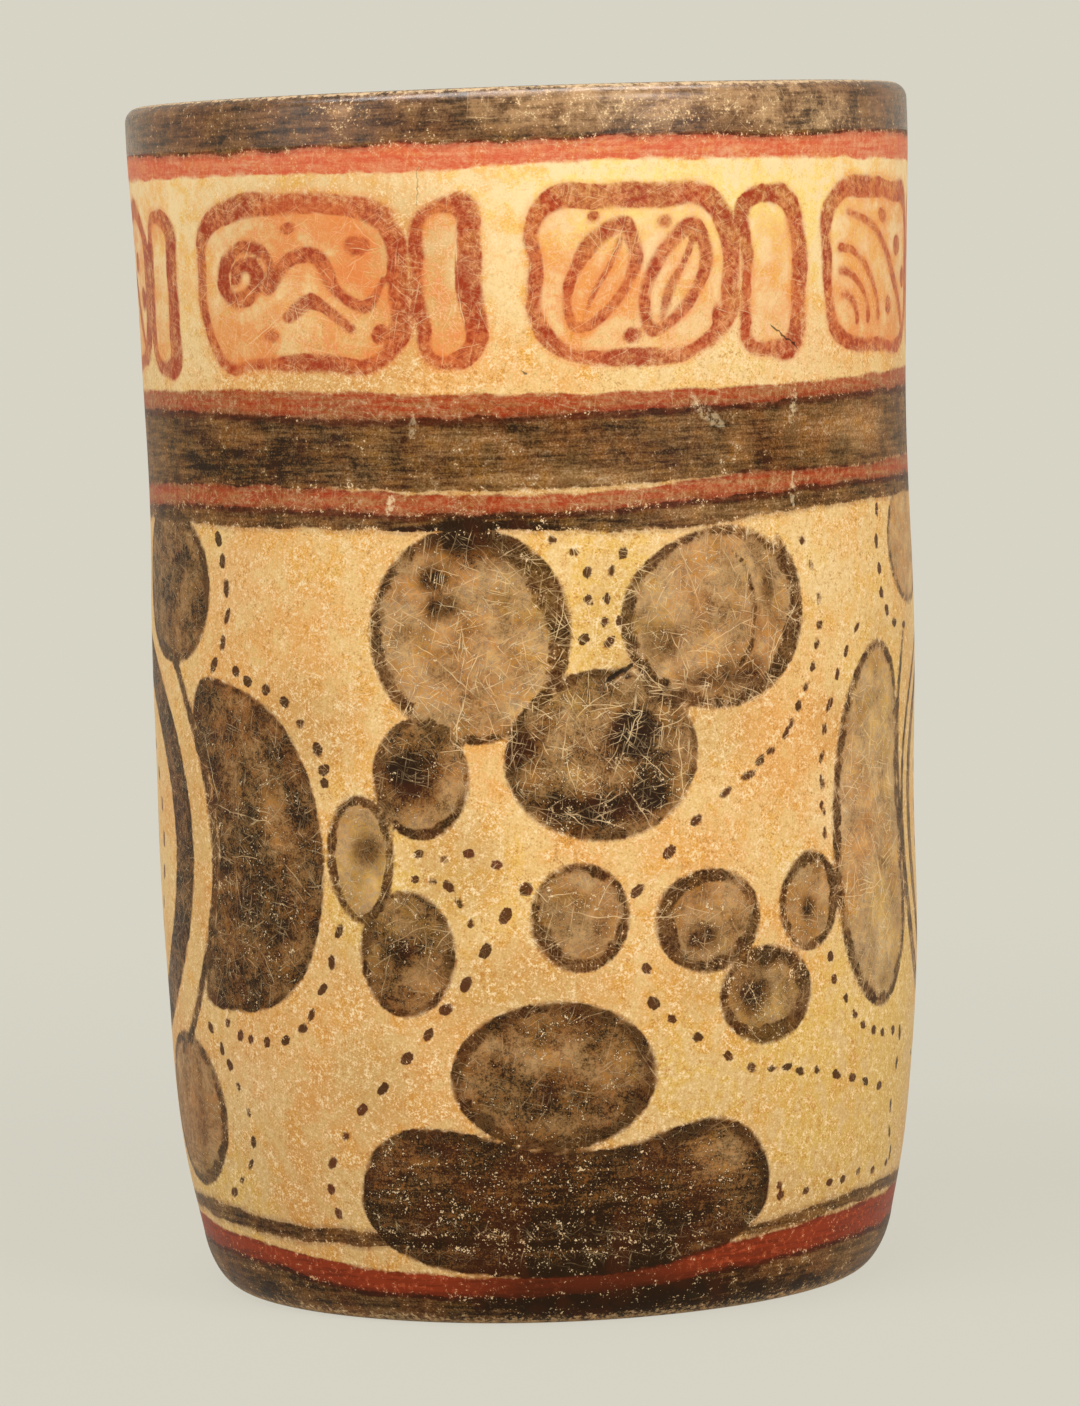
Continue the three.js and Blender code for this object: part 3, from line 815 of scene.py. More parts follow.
# On the lip the black slip runs over the top and a little way down the inside, where bare clay begins
def lipPaint(azimuth, height, radius):
    outerRadius = outsideKnots[-1][1]
    inside = radius < outerRadius - clay["wall"] / 2
    outer, inner = commonPaint(azimuth, height), commonPaint(azimuth, height, inside=True)
    paint = {key: np.where(inside, inner[key], outer[key]) for key in outer}
    paint["slipDistance"] = np.where(inside, paint["blackDistance"] - lipWear["overlap"], -5.0)
    fromEdge = (radius - (outerRadius - clay["lipRounding"] * 0.6)) / lipWear["spread"]
    onTop = clay["top"] - height < lipWear["deepest"]
    paint["edgeWear"] = lipWear["edge"] * np.exp(-(fromEdge**2)) * onTop + lipWear["rest"]
    return paint


footWear = {"slipEnd": 1.6, "spread": 2.6}


# The slip ends a little way under the foot. The rest of the underside and the inner floor are bare clay
def footPaint(azimuth, height, radius):
    paint = commonPaint(azimuth, height)
    under = clay["footRadius"] - footWear["slipEnd"] + brushLine(azimuth, "footRedLow") * 0.25 - radius
    onTop = height > clay["floor"] - 0.01
    floorInside = np.where(radius < clay["footRadius"], 1.0, -5.0)
    bare = np.clip(np.where(onTop, floorInside, under), -5, 5)
    paint["slipDistance"] = bare
    paint["blackDistance"] = np.maximum(paint["blackDistance"], bare)
    paint["redDistance"] = np.maximum(paint["redDistance"], bare)
    paint["edgeWear"] = np.exp(-((height / footWear["spread"]) ** 2))
    return paint


def noPaint(azimuth, height, radius):
    return {}


# Meshes: a profile carried round the axis. Each station of the profile gives a radius and a height per
# column. Rows from insideFrom on take the second material. An open profile is closed at its poles
def turnedMesh(name, stations, columns, materials, sharpStations, paint, closed=True, insideFrom=None):
    azimuth = np.arange(columns) * 360 / columns - 180
    radius = np.array([np.broadcast_to(r(azimuth) if callable(r) else r, columns) for r, _ in stations])
    height = np.array([np.broadcast_to(z, columns) for _, z in stations])
    across = np.broadcast_to(azimuth, radius.shape)
    x = radius * np.sin(np.radians(across)) + smoothThrough(height, handWork["lean"])
    y = -radius * np.cos(np.radians(across))
    z = height + handWork["rimTilt"] * height / clay["top"] * x * (height > clay["floor"])
    points = np.stack([x, y, z], -1).reshape(-1, 3)
    rows = len(stations) if closed else len(stations) - 1
    here = np.arange(rows)[:, None] * columns + np.arange(columns)
    beside = np.arange(rows)[:, None] * columns + (np.arange(columns) + 1) % columns
    quads = np.stack([here, beside, beside + columns, here + columns], -1).reshape(-1, 4) % len(points)
    slots = np.repeat(np.arange(rows) >= (rows if insideFrom is None else insideFrom), columns)
    fans = np.empty((0, 3), int)
    if not closed:  # fans of triangles at the poles
        first, last, top = len(points), len(points) + 1, rows * columns
        points = np.vstack([points, (x[0].mean(), 0, height[0, 0]), (x[-1].mean(), 0, height[-1, 0])])
        ring, following = np.arange(columns), (np.arange(columns) + 1) % columns
        fans = np.vstack([
            np.stack([np.full(columns, first), following, ring], 1),
            np.stack([ring + top, following + top, np.full(columns, last)], 1),
        ])
        slots = np.concatenate([slots, np.zeros(len(fans))])
    mesh = bpy.data.meshes.new(name)
    mesh.vertices.add(len(points))
    mesh.vertices.foreach_set("co", (points * mm).astype(np.float32).ravel())
    loops = np.concatenate([quads.ravel(), fans.ravel()])
    sizes = np.concatenate([np.full(len(quads), 4), np.full(len(fans), 3)])
    mesh.loops.add(len(loops))
    mesh.loops.foreach_set("vertex_index", loops.astype(np.int32))
    mesh.polygons.add(len(sizes))
    mesh.polygons.foreach_set("loop_start", (np.cumsum(sizes) - sizes).astype(np.int32))
    mesh.polygons.foreach_set("use_smooth", np.ones(len(sizes), bool))
    for material in materials:
        mesh.materials.append(material)
    mesh.polygons.foreach_set("material_index", slots.astype(np.int32))
    mesh.update(calc_edges=True)
    ends = np.empty(len(mesh.edges) * 2, np.int32)
    mesh.edges.foreach_get("vertices", ends)
    station = np.minimum(ends.reshape(-1, 2) // columns, len(stations))
    sharp = (station[:, 0] == station[:, 1]) & np.isin(station[:, 0], sharpStations)
    mesh.attributes.new("sharp_edge", "BOOLEAN", "EDGE").data.foreach_set("value", sharp)
    for key, values in paint(across.reshape(-1), height.reshape(-1), radius.reshape(-1)).items():
        padded = values if closed else np.concatenate([values, values[:1], values[-1:]])
        mesh.attributes.new(key, "FLOAT", "POINT").data.foreach_set("value", padded.astype(np.float32))
    mesh.validate()
    piece = bpy.data.objects.new(name, mesh)
    bpy.context.scene.collection.objects.link(piece)
    return piece


def outsideAt(height):
    return lambda azimuth: outsideRadius(azimuth, np.full(len(azimuth), height))


def insideAt(height):
    return lambda azimuth: insideRadius(azimuth, np.full(len(azimuth), height))


# Shader nodes. A wire is what leaves a node. Sums, differences, products and quotients of wires and numbers
# add a Math node each
class Wire:
    def __init__(self, socket):
        self.socket = socket

    def __add__(self, other):
        return maths("ADD", self, other)

    def __sub__(self, other):
        return maths("SUBTRACT", self, other)

    def __rsub__(self, other):
        return maths("SUBTRACT", other, self)

    def __mul__(self, other):
        return maths("MULTIPLY", self, other)

    def __truediv__(self, other):
        return maths("DIVIDE", self, other)

    def __rtruediv__(self, other):
        return maths("DIVIDE", other, self)


# The node tree that the wires among some values belong to
def treeOf(values):
    return next(value.socket.id_data for value in values if isinstance(value, Wire))


def feed(socket, value):
    if isinstance(value, Wire):
        socket.id_data.links.new(value.socket, socket)
    else:
        socket.default_value = value


def addNode(tree, kind, values=None, **settings):
    node = tree.nodes.new("ShaderNode" + kind)
    for name, setting in settings.items():
        setattr(node, name, setting)
    for key, value in (values or {}).items():
        feed(node.inputs[key], value)
    return node


def output(node, which=0):
    return Wire(node.outputs[which])


def maths(operation, *values, clamp=False):
    node = addNode(treeOf(values), "Math", dict(enumerate(values)), operation=operation, use_clamp=clamp)
    return output(node)


def vectorMaths(operation, *values, which=0):
    return output(addNode(treeOf(values), "VectorMath", dict(enumerate(values)), operation=operation), which)


def scaled(vector, amount):
    values = {"Vector": vector, "Scale": amount}
    return output(addNode(treeOf([vector]), "VectorMath", values, operation="SCALE"))


# The three axes of a vector, or with SeparateColor the three parts of a colour
def parts(vector, kind="SeparateXYZ"):
    return [Wire(socket) for socket in addNode(treeOf([vector]), kind, {0: vector}).outputs]


def vectorOf(x, y, z=0.0):
    return output(addNode(treeOf([x]), "CombineXYZ", {"X": x, "Y": y, "Z": z}))


def largest(first, *others):
    for other in others:
        first = maths("MAXIMUM", first, other)
    return first


# Smooth step from toLow to toHigh while the value goes from low to high
def ramp(value, low, high, toLow=0.0, toHigh=1.0):
    values = {"Value": value, "From Min": low, "From Max": high, "To Min": toLow, "To Max": toHigh}
    return output(addNode(treeOf([value]), "MapRange", values, interpolation_type="SMOOTHSTEP"), "Result")


def mixColour(share, low, high, blend="MIX"):
    tree = treeOf([share, low, high])
    return output(addNode(tree, "Mix", {0: share, 6: low, 7: high}, data_type="RGBA", blend_type=blend), 2)


def noise(place, scale, detail=2.0, roughness=0.5, distortion=0.0, which="Fac"):
    values = {"Vector": place, "Scale": scale, "Detail": detail, "Roughness": roughness,
              "Distortion": distortion}
    return output(addNode(treeOf([place]), "TexNoise", values), which)


# A noise in three directions, from about -0.5 to 0.5
def wander(place, scale, detail):
    return vectorMaths("SUBTRACT", noise(place, scale, detail, which="Color"), (0.5, 0.5, 0.5))


def attribute(tree, name):
    return output(addNode(tree, "Attribute", attribute_name=name), "Fac")


def paintColour(red, green, blue):
    shares = [part / 255 for part in (red, green, blue)]
    return tuple(c / 12.92 if c <= 0.04045 else ((c + 0.055) / 1.055) ** 2.4 for c in shares) + (1.0,)


def newGroup(name, takes, gives):
    group = bpy.data.node_groups.new(name, "ShaderNodeTree")
    for socketName, kind, value in takes:
        socket = group.interface.new_socket(name=socketName, in_out="INPUT", socket_type="NodeSocket" + kind)
        if value is not None:
            socket.default_value = value
    for socketName, kind in gives:
        group.interface.new_socket(name=socketName, in_out="OUTPUT", socket_type="NodeSocket" + kind)
    taken = {socket.name: Wire(socket) for socket in group.nodes.new("NodeGroupInput").outputs}
    return group, taken, group.nodes.new("NodeGroupOutput").inputs


def useGroup(group, **values):
    node = treeOf(values.values()).nodes.new("ShaderNodeGroup")
    node.node_tree = group
    for key, value in values.items():
        feed(node.inputs[key], value)
    return {socket.name: Wire(socket) for socket in node.outputs}


# Places in mm: in space, and unrolled from the vessel. Across the seam at the back the unrolled place jumps,
# so Seam is 0 there and patterns that read it fade out
def makePlaceGroup():
    group, takes, gives = newGroup(
        "placeOnClay", [("Object", "Vector", None)],
        [("Solid", "Vector"), ("Unrolled", "Vector"), ("Seam", "Float")])
    solid = scaled(takes["Object"], 1 / mm)
    x, y, z = parts(solid)
    side = maths("ARCTAN2", x, y * -1.0) * paintRadius
    halfRound = math.pi * paintRadius
    feed(gives["Solid"], solid)
    feed(gives["Unrolled"], vectorOf(side, z))
    feed(gives["Seam"], ramp(maths("ABSOLUTE", side), halfRound - 1.0, halfRound - 8.0))
    return group


# The edge of a brushed shape: 1 inside and 0 outside, ragged by two noises and soft where the brush ran dry
def makeBrushGroup():
    group, takes, gives = newGroup(
        "brushedEdge",
        [("Distance", "Float", 1.0), ("Small", "Float", 0.5), ("Large", "Float", 0.5),
         ("Softness", "Float", 0.2), ("Ragged", "Float", 0.3)],
        [("Mask", "Float")])
    both = takes["Small"] * 0.7 + takes["Large"] * 0.6
    distance = takes["Distance"] + (both - 0.65) * (takes["Ragged"] * 2.4)
    dry = takes["Softness"] * ramp(takes["Large"], 0.35, 0.7, 0.6, 2.2)
    feed(gives["Mask"], ramp(distance, dry, dry * -1.0))
    return group


# Hair scratches: one in each cell of a pattern, at a random angle, slightly bent, thin and of limited length
def makeScratchGroup():
    group, takes, gives = newGroup(
        "hairScratches",
        [("Place", "Vector", None), ("Cell", "Float", 5.0), ("Width", "Float", 0.12), ("Share", "Float", 0.5),
         ("Shift", "Float", 0.0)],
        [("Mask", "Float")])
    place = vectorMaths("ADD", vectorMaths("DIVIDE", takes["Place"], takes["Cell"]), takes["Shift"])
    cell = addNode(group, "TexVoronoi", {"Vector": place, "Scale": 1.0}, voronoi_dimensions="2D")
    angleDraw, shareDraw, bendDraw = parts(output(cell, "Color"), "SeparateColor")
    x, y, _ = parts(scaled(vectorMaths("SUBTRACT", place, output(cell, "Position")), takes["Cell"]))
    angle = angleDraw * math.pi
    cosine, sine = maths("COSINE", angle), maths("SINE", angle)
    along = x * cosine + y * sine
    bend = (bendDraw - 0.5) * (0.3 / takes["Cell"])
    aside = y * cosine - x * sine - bend * (along * along)
    reach = takes["Cell"] * 0.75
    thin = ramp(maths("ABSOLUTE", aside), takes["Width"], takes["Width"] * 0.2)
    short = ramp(maths("ABSOLUTE", along), reach, reach * 0.5)
    feed(gives["Mask"], thin * short * ramp(takes["Share"] - shareDraw, 0.0, 0.7))
    return group


# Flecks: small round blots, one in some of the cells
def makeFleckGroup():
    group, takes, gives = newGroup(
        "flecks",
        [("Place", "Vector", None), ("Cell", "Float", 2.0), ("Size", "Float", 0.5), ("Share", "Float", 0.5)],
        [("Mask", "Float")])
    place = vectorMaths("DIVIDE", takes["Place"], takes["Cell"])
    cell = addNode(group, "TexVoronoi", {"Vector": place, "Scale": 1.0})
    sizeDraw, shareDraw, _ = parts(output(cell, "Color"), "SeparateColor")
    size = takes["Size"] * (sizeDraw + 0.35) / takes["Cell"]
    blot = ramp(output(cell, "Distance"), size, size * 0.45)
    feed(gives["Mask"], blot * maths("LESS_THAN", shareDraw, takes["Share"]))
    return group


# Brush streaks that run round the vessel: noise drawn out along the turn
def makeStreakGroup():
    group, takes, gives = newGroup(
        "brushStreaks", [("Place", "Vector", None), ("Long", "Float", 12.0), ("High", "Float", 0.9)],
        [("Streaks", "Float")])
    longer, higher = 1.0 / takes["Long"], 1.0 / takes["High"]
    drawn = vectorMaths("MULTIPLY", takes["Place"], vectorOf(longer, longer, higher))
    feed(gives["Streaks"], noise(drawn, 1.0, 5.0, 0.7, 0.25))
    return group


# Grain of burnished or plain clay: a tone for the colour and a height for the bump
def makeGrainGroup():
    group, takes, gives = newGroup(
        "clayGrain", [("Place", "Vector", None), ("Grain", "Float", 1.0)],
        [("Tone", "Float"), ("Height", "Float")])
    place = vectorMaths("DIVIDE", takes["Place"], takes["Grain"])
    fine, coarse = noise(place, 2.6, 3.0, 0.65), noise(place, 0.5, 3.0, 0.6)
    feed(gives["Tone"], fine * 0.6 + coarse * 0.4)
    feed(gives["Height"], fine * 0.35 + coarse * 0.65)
    return group


# Directions of the burnishing marks on the unrolled surface, and how long and thin they are in mm
fibreMarks = ((27, 6.4, 0.28), (-47, 5.6, 0.26), (79, 5.0, 0.28), (-13, 7.2, 0.30))


# Burnishing marks: noise drawn out along crossing directions, even across the seam. Fibres is their mean
# tone, and Hairs is 1 on the crests, which are thin crossing lines
def makeFibreGroup():
    group, takes, gives = newGroup(
        "burnishFibres", [("Place", "Vector", None), ("Seam", "Float", 1.0)],
        [("Fibres", "Float"), ("Hairs", "Float")])
    x, y, _ = parts(takes["Place"])
    total, crests = None, []
    for turn, length, thinness in fibreMarks:
        cosine, sine = math.cos(math.radians(turn)), math.sin(math.radians(turn))
        along = x * (cosine / length) + y * (sine / length)
        aside = y * (cosine / thinness) - x * (sine / thinness)
        marks = noise(vectorOf(along, aside, turn * 0.7), 1.0, 2.0, 0.6)
        total = marks if total is None else total + marks
        crests.append(ramp(marks, 0.62, 0.70))
    mean = total * (1 / len(fibreMarks)) - 0.5
    feed(gives["Fibres"], mean * takes["Seam"] + 0.5)
    feed(gives["Hairs"], largest(*crests) * takes["Seam"])
    return group


# One crack or slit: a thin line between two unrolled places, widest in its middle
def makeCrackGroup():
    group, takes, gives = newGroup(
        "crackLine",
        [("Place", "Vector", None), ("Solid", "Vector", None), ("Start", "Vector", None),
         ("End", "Vector", None), ("Width", "Float", 0.2)],
        [("Mask", "Float")])
    ragged = vectorMaths("ADD", takes["Place"], scaled(wander(takes["Solid"], 0.9, 3.0), 1.4))
    offset = vectorMaths("MULTIPLY", vectorMaths("SUBTRACT", ragged, takes["Start"]), (1.0, 1.0, 0.0))
    reach = vectorMaths("SUBTRACT", takes["End"], takes["Start"])
    along = vectorMaths("DOT_PRODUCT", offset, reach, which="Value")
    share = maths("DIVIDE", along, vectorMaths("DOT_PRODUCT", reach, reach, which="Value"), clamp=True)
    away = vectorMaths("LENGTH", vectorMaths("SUBTRACT", offset, scaled(reach, share)), which="Value")
    taper = takes["Width"] * maths("SQRT", share * (1.0 - share)) * 2.0 + 0.04
    feed(gives["Mask"], ramp(away, taper, taper * 0.4))
    return group


placeGroup, brushGroup, scratchGroup = makePlaceGroup(), makeBrushGroup(), makeScratchGroup()
fleckGroup, streakGroup, grainGroup = makeFleckGroup(), makeStreakGroup(), makeGrainGroup()
fibreGroup, crackGroup = makeFibreGroup(), makeCrackGroup()
print("node groups ready")

colours = {
    "cream": (230, 186, 114),
    "dusty": (249, 222, 174),
    "creamDimAndShade": (188, 142, 78),
    "creamDark": (196, 128, 60),
    "upperCream": (255, 223, 166),
    "footCream": (196, 160, 106),
    "red": (160, 52, 18),
    "rimRed": (214, 92, 58),
    "deepRed": (134, 53, 25),
    "redStreakAndShade": (96, 36, 12),
    "footRed": (184, 84, 48),
    "scrollRed": (162, 58, 28),
    "scrollOrange": (188, 82, 42),
    "scrollWash": (230, 124, 58),
    "umber": (40, 22, 5),
    "warmUmber": (58, 27, 7),
    "olive": (44, 34, 12),
    "pale": (250, 220, 168),
    "scratchSheen": (214, 172, 124),
    "lipGround": (206, 142, 82),
    "pit": (112, 58, 26),
    "dotRed": (84, 30, 18),
    "crackDarkAndShade": (34, 20, 10),
    "clay": (170, 116, 70),
    "clayDark": (134, 88, 52),
    "claySoot": (96, 62, 38),
    "claySpeck": (206, 164, 116),
}
colours = {name: paintColour(*colour) for name, colour in colours.items()}

# What the ground is multiplied by in its orange and golden blotches, and under thin and thick dark slip
orangeTint = (0.96, 0.73, 0.53, 1.0)
goldenTint = (1.0, 0.975, 0.62, 1.0)
thinGlaze = (1.0, 0.93, 1.0, 1.0)
thickGlaze = (1.0, 0.76, 0.56, 1.0)

# Layers of hair scratches: size of the cells that hold one each, half width, share of cells and shift
scratchLayers = (
    (1.7, 0.09, 0.55, 21.6),
    (2.6, 0.09, 0.7, 0.0),
    (4.0, 0.10, 0.9, 12.3),
    (6.2, 0.11, 1.0, 3.7),
    (10.0, 0.12, 1.0, 7.9),
    (17.0, 0.13, 0.9, 17.1),
)

# Cracks, slits and creases, drawn dark: dark clay in them, and painted shade in the slit and the creases.
# Start and end (azimuth, height), width and darkness
cracks = {
    "lower": (
        ((10.3, 104.9), (14.5, 107.5), 0.6, 1.0),
        ((-6.5, 22.4), (4.2, 28.5), 0.14, 0.6),
    ),
    "upper": (
        ((37.8, 160.8), (43.2, 156.9), 0.2, 0.9),
        ((-13.8, 187.6), (-14.2, 181.6), 0.08, 0.45),
        ((-7.5, 151.4), (4.2, 146.0), 0.12, 0.4),
        ((-0.2, 154.9), (0.5, 154.2), 0.3, 0.8),
        ((23.6, 147.9), (24.3, 147.5), 0.3, 0.8),
    ),
}

# Old mends that show as thin pale lines across the bands: start, end, width and strength
mends = {
    "lower": (((-19.6, 135.6), (-20.4, 132.6), 1.0, 0.6), ((42.0, 137.0), (41.4, 131.0), 0.7, 0.4)),
    "upper": (((42.6, 150.4), (41.6, 143.2), 0.9, 0.5), ((-16.0, 149.0), (-16.4, 143.2), 0.8, 0.3),
              ((24.0, 150.0), (30.0, 144.0), 1.4, 0.3)),
}

# How far the wear shows, and how dark the cracks are with their painted shade
wear = {
    "chipDepth": 0.75,  # how much of the dark slip a chip and a scratch take away
    "scratchDepth": 0.4,
    "scratchTone": 0.62,  # how pale a scratch is
    "crackTone": 0.92,
    "chipDull": 0.18,
}


def newMaterial(name):
    material = bpy.data.materials.new(name)
    material.use_nodes = True
    tree = material.node_tree
    tree.nodes.clear()
    shader = addNode(tree, "BsdfPrincipled", {"IOR": 1.5})
    feed(addNode(tree, "OutputMaterial").inputs["Surface"], output(shader))
    return material, tree, shader


# What every slip reads: the place, noises from broad to fine, brush and burnishing marks, and the paint
# attributes
def surfaceMarks(tree):
    place = useGroup(placeGroup, Object=output(addNode(tree, "TexCoord"), "Object"))
    solid = place["Solid"]
    bent = vectorMaths("ADD", place["Unrolled"], wander(solid, 0.32, 1.0))
    burnished = useGroup(fibreGroup, Place=bent, Seam=place["Seam"])
    marks = SimpleNamespace(tree=tree, solid=solid, unrolled=place["Unrolled"], bent=bent, seam=place["Seam"])
    marks.height = parts(solid)[2]
    marks.broad = noise(solid, 0.075, 2.0, 0.55)
    marks.middle = noise(solid, 0.26, 3.0, 0.6, 0.3)
    marks.large = noise(solid, 0.35, 1.0, 0.5)
    marks.fine = noise(solid, 1.0, 4.0, 0.72)
    marks.grain = noise(solid, 3.2, 1.0, 0.6)
    marks.fibres, marks.hairs = burnished["Fibres"], burnished["Hairs"]
    marks.streaks = useGroup(streakGroup, Place=solid, Long=9.0, High=0.8)["Streaks"]
    marks.rough = ramp(marks.large * 0.6 + marks.middle * 0.4, 0.40, 0.60, 0.55, 1.0)
    marks.atFoot = ramp(marks.height, 30.0, 12.0)
    for name in commonAttributes:
        setattr(marks, name, attribute(tree, name))
    return marks


def brushed(marks, distance, softness, ragged):
    return useGroup(brushGroup, Distance=distance, Small=marks.fine, Large=marks.large, Softness=softness,
                    Ragged=ragged)["Mask"]


# Cream ground: yellow to orange over a few millimetres, paler near the rim, and speckled dark and pale
def creamGround(marks):
    fine, middle, grain = marks.fine, marks.middle, marks.grain
    ground = mixColour(ramp(marks.height, 140.0, 190.0, 0.15, 0.95), colours["cream"], colours["upperCream"])
    ground = mixColour(ramp(marks.height, 78.0, 22.0, 0.0, 0.5), ground, colours["footCream"])
    tint = marks.broad * 0.26 + middle * 0.38 + fine * 0.36 + marks.groundWarmth * 0.08
    ground = mixColour(ramp(tint, 0.445, 0.56), ground, orangeTint, "MULTIPLY")
    yellowness = middle - marks.groundWarmth * 0.14
    ground = mixColour(ramp(yellowness, 0.50, 0.66), ground, goldenTint, "MULTIPLY")
    # dim places darken the cream, the strip down the right side as painted shade; pale places lighten it
    for way, tone in ((1.0, "creamDimAndShade"), (-1.0, "dusty")):
        ground = mixColour(maths("MULTIPLY", marks.groundDim, way, clamp=True), ground, colours[tone])
    patches = ramp(fine * 0.45 + middle * 0.35 + grain * 0.2, 0.53, 0.585, 0.0, 0.3)
    ground = mixColour(patches * marks.rough, ground, colours["dusty"])
    speckle = fine * 0.40 + grain * 0.26 + marks.fibres * 0.34
    calm = ramp(marks.height, 172.0, 150.0, 0.35, 1.0)
    darker = marks.rough * calm * ramp(speckle, 0.49, 0.41, 0.0, 0.85)
    ground = mixColour(darker, ground, colours["creamDark"])
    return mixColour(marks.rough * ramp(speckle, 0.50, 0.58, 0.0, 0.9), ground, colours["dusty"])


# Red slip, paler at the rim and deep at the foot: the painted ground, where the red is and how well it
# covers.
# The paler red at the rim is partly a painted sheen; the deep red, the dark streaks and the umber at the foot
# are partly painted shade
def redSlip(marks, ground):
    fine, streaks, atFoot = marks.fine, marks.streaks, marks.atFoot
    red = brushed(marks, marks.redDistance, 0.3, 0.36)
    deep = ramp(marks.middle * 0.5 + streaks * 0.5, 0.44, 0.60)
    # deeper red and darker streaks towards the foot: brush streaks, and partly painted shade at the foot
    tone = mixColour(largest(atFoot * 0.7, deep * 0.7), colours["red"], colours["deepRed"])
    tone = mixColour(ramp(streaks, 0.46, 0.62) * (atFoot * 0.35 + 0.3), tone, colours["redStreakAndShade"])
    tone = mixColour(atFoot * ramp(fine, 0.52, 0.62, 0.0, 0.7), tone, colours["footRed"])
    # umber where the shade spots lie; across the foot's middle this is painted shade
    tone = mixColour(maths("MULTIPLY", marks.shade, 1.8, clamp=True), tone, colours["warmUmber"])
    # paler red towards the rim, partly a painted sheen
    tone = mixColour(ramp(marks.height, 160.0, 180.0), tone, colours["rimRed"])
    patchy = streaks * 0.36 + marks.fibres * 0.3 + fine * 0.34
    cover = maths("MULTIPLY", red, ramp(patchy, 0.40, 0.62, 1.0, 0.6) + atFoot * 0.4, clamp=True)
    return mixColour(cover, ground, tone), red, cover


# The scrolls: an orange wash in the frames, a halo of it beside the lines, and the red lines
def scrollLayer(marks, ground):
    broad, fine = marks.broad, marks.fine
    patchy = marks.middle * 0.35 + fine * 0.35 + marks.fibres * 0.3
    wash = brushed(marks, attribute(marks.tree, "scrollWash"), 0.4, 0.5)
    wash = wash * ramp(patchy * 0.7 + broad * 0.3, 0.43, 0.57, 0.1, 0.85)
    wash = wash * ramp(marks.groundWarmth, -0.5, 0.9, 0.45, 1.0)
    ground = mixColour(wash, ground, colours["scrollWash"])
    distance = attribute(marks.tree, "scrollDistance")
    halo = brushed(marks, distance - 0.5, 0.5, 0.4)
    ground = mixColour(halo * 0.3, ground, colours["scrollWash"])
    thinned = distance + ((broad - 0.5) * 1.8 + (marks.large - 0.46) * 0.5)
    cover = brushed(marks, thinned, 0.3, 0.2) * ramp(patchy, 0.42, 0.62, 1.0, 0.4)
    warmer = ramp(broad * 0.45 + fine * 0.55, 0.44, 0.56)
    tone = mixColour(warmer, colours["scrollRed"], colours["scrollOrange"])
    return mixColour(cover, ground, tone)


# Dark slip of the bands: where it is, and how much of the ground it covers, with a smudge along its edge
def bandCover(marks):
    black = brushed(marks, marks.blackDistance, 0.24, 0.42)
    uneven = marks.streaks * 0.42 + marks.fine * 0.16 + marks.middle * 0.24 + marks.grain * 0.18
    thinEdge = ramp(marks.blackDistance, 0.1, -0.9, 0.95, 1.0)
    cover = black * thinEdge * (ramp(uneven, 0.38, 0.63, 1.0, 0.64) + marks.shade)
    smudge = brushed(marks, marks.blackDistance - 0.5, 0.5, 0.4)
    return black, largest(cover, smudge * 0.3)


# Dark slip of the spots: how much the washes, lines and dots cover, and where the dots are
def spotCover(marks):
    washDistance, washTone, lineDistance, dotDistance = (
        attribute(marks.tree, name) for name in ("washDistance", "washTone", "lineDistance", "dotDistance"))
    swirl = noise(marks.solid, 0.2, 4.0, 0.6, 0.25)
    nearFoot = ramp(marks.height, 38.0, 26.0, 0.1, 0.65)
    swept = output(addNode(marks.tree, "Mix", {0: nearFoot, 2: swirl, 3: marks.streaks}))
    stain = swept * 0.3 + marks.fine * 0.26 + marks.fibres * 0.26 + marks.grain * 0.18
    tone = washTone + (stain - 0.49) * 4.2
    tone = maths("ADD", tone, marks.shade * ramp(stain, 0.38, 0.60, 1.25, 0.6), clamp=True)
    wash = brushed(marks, washDistance, 0.26, 0.5) * tone
    line = brushed(marks, lineDistance, 0.36, 0.5) * ramp(stain, 0.40, 0.62, 1.0, 0.72)
    dots = brushed(marks, dotDistance, 0.12, 0.5)
    return largest(wash, line, dots * 0.92), dots


# Chips where the slip came off in specks, and rubbed edges
def chips(marks, layers):
    brim = ramp(maths("ABSOLUTE", marks.blackDistance), 0.9, 0.1, 0.0, 0.035)
    loose = marks.fine * 0.44 + marks.grain * 0.38 + marks.middle * 0.18 + marks.flaked * 0.05 + brim
    worn = ramp(loose, 0.605, 0.64)
    if "edge" in layers:
        rubbed = attribute(marks.tree, "edgeWear") + (marks.fine - 0.5) * 2.2
        worn = largest(worn, ramp(rubbed, 0.7, 1.1, 0.0, 0.8))
    return worn


# Hair scratches in layers of different size, and the burnishing hairs, which gather in some places and are
# fewer on the bands
def hairScratches(marks, black, banded, burnish):
    layers = [
        useGroup(scratchGroup, Place=marks.bent, Cell=cell, Width=width, Shift=shift,
                 Share=marks.scratched * share)["Mask"]
        for cell, width, share, shift in scratchLayers]
    gathered = ramp(marks.large * 0.4 + marks.middle * 0.6, 0.40, 0.56, 0.25, 1.0)
    beside = ramp(marks.blackDistance, 3.5, 0.8) * (1.0 - black)
    hairy = marks.scratched + beside * burnish["frayed"]
    hairs = marks.hairs * hairy * gathered * burnish["hairs"]
    scratches = largest(largest(*layers) * marks.seam * gathered, hairs)
    return scratches * (1.0 - banded * burnish["smoothBands"])


# The strongest of some cracks or mends at each place
def crackLines(marks, lines):
    found = []
    for (startAt, startHeight), (endAt, endHeight), width, strength in lines:
        start, end = (startAt * mmPerDegree, startHeight, 0.0), (endAt * mmPerDegree, endHeight, 0.0)
        line = useGroup(crackGroup, Place=marks.unrolled, Solid=marks.solid, Start=start, End=end,
                        Width=width)
        found.append(line["Mask"] * strength)
    return largest(*found)


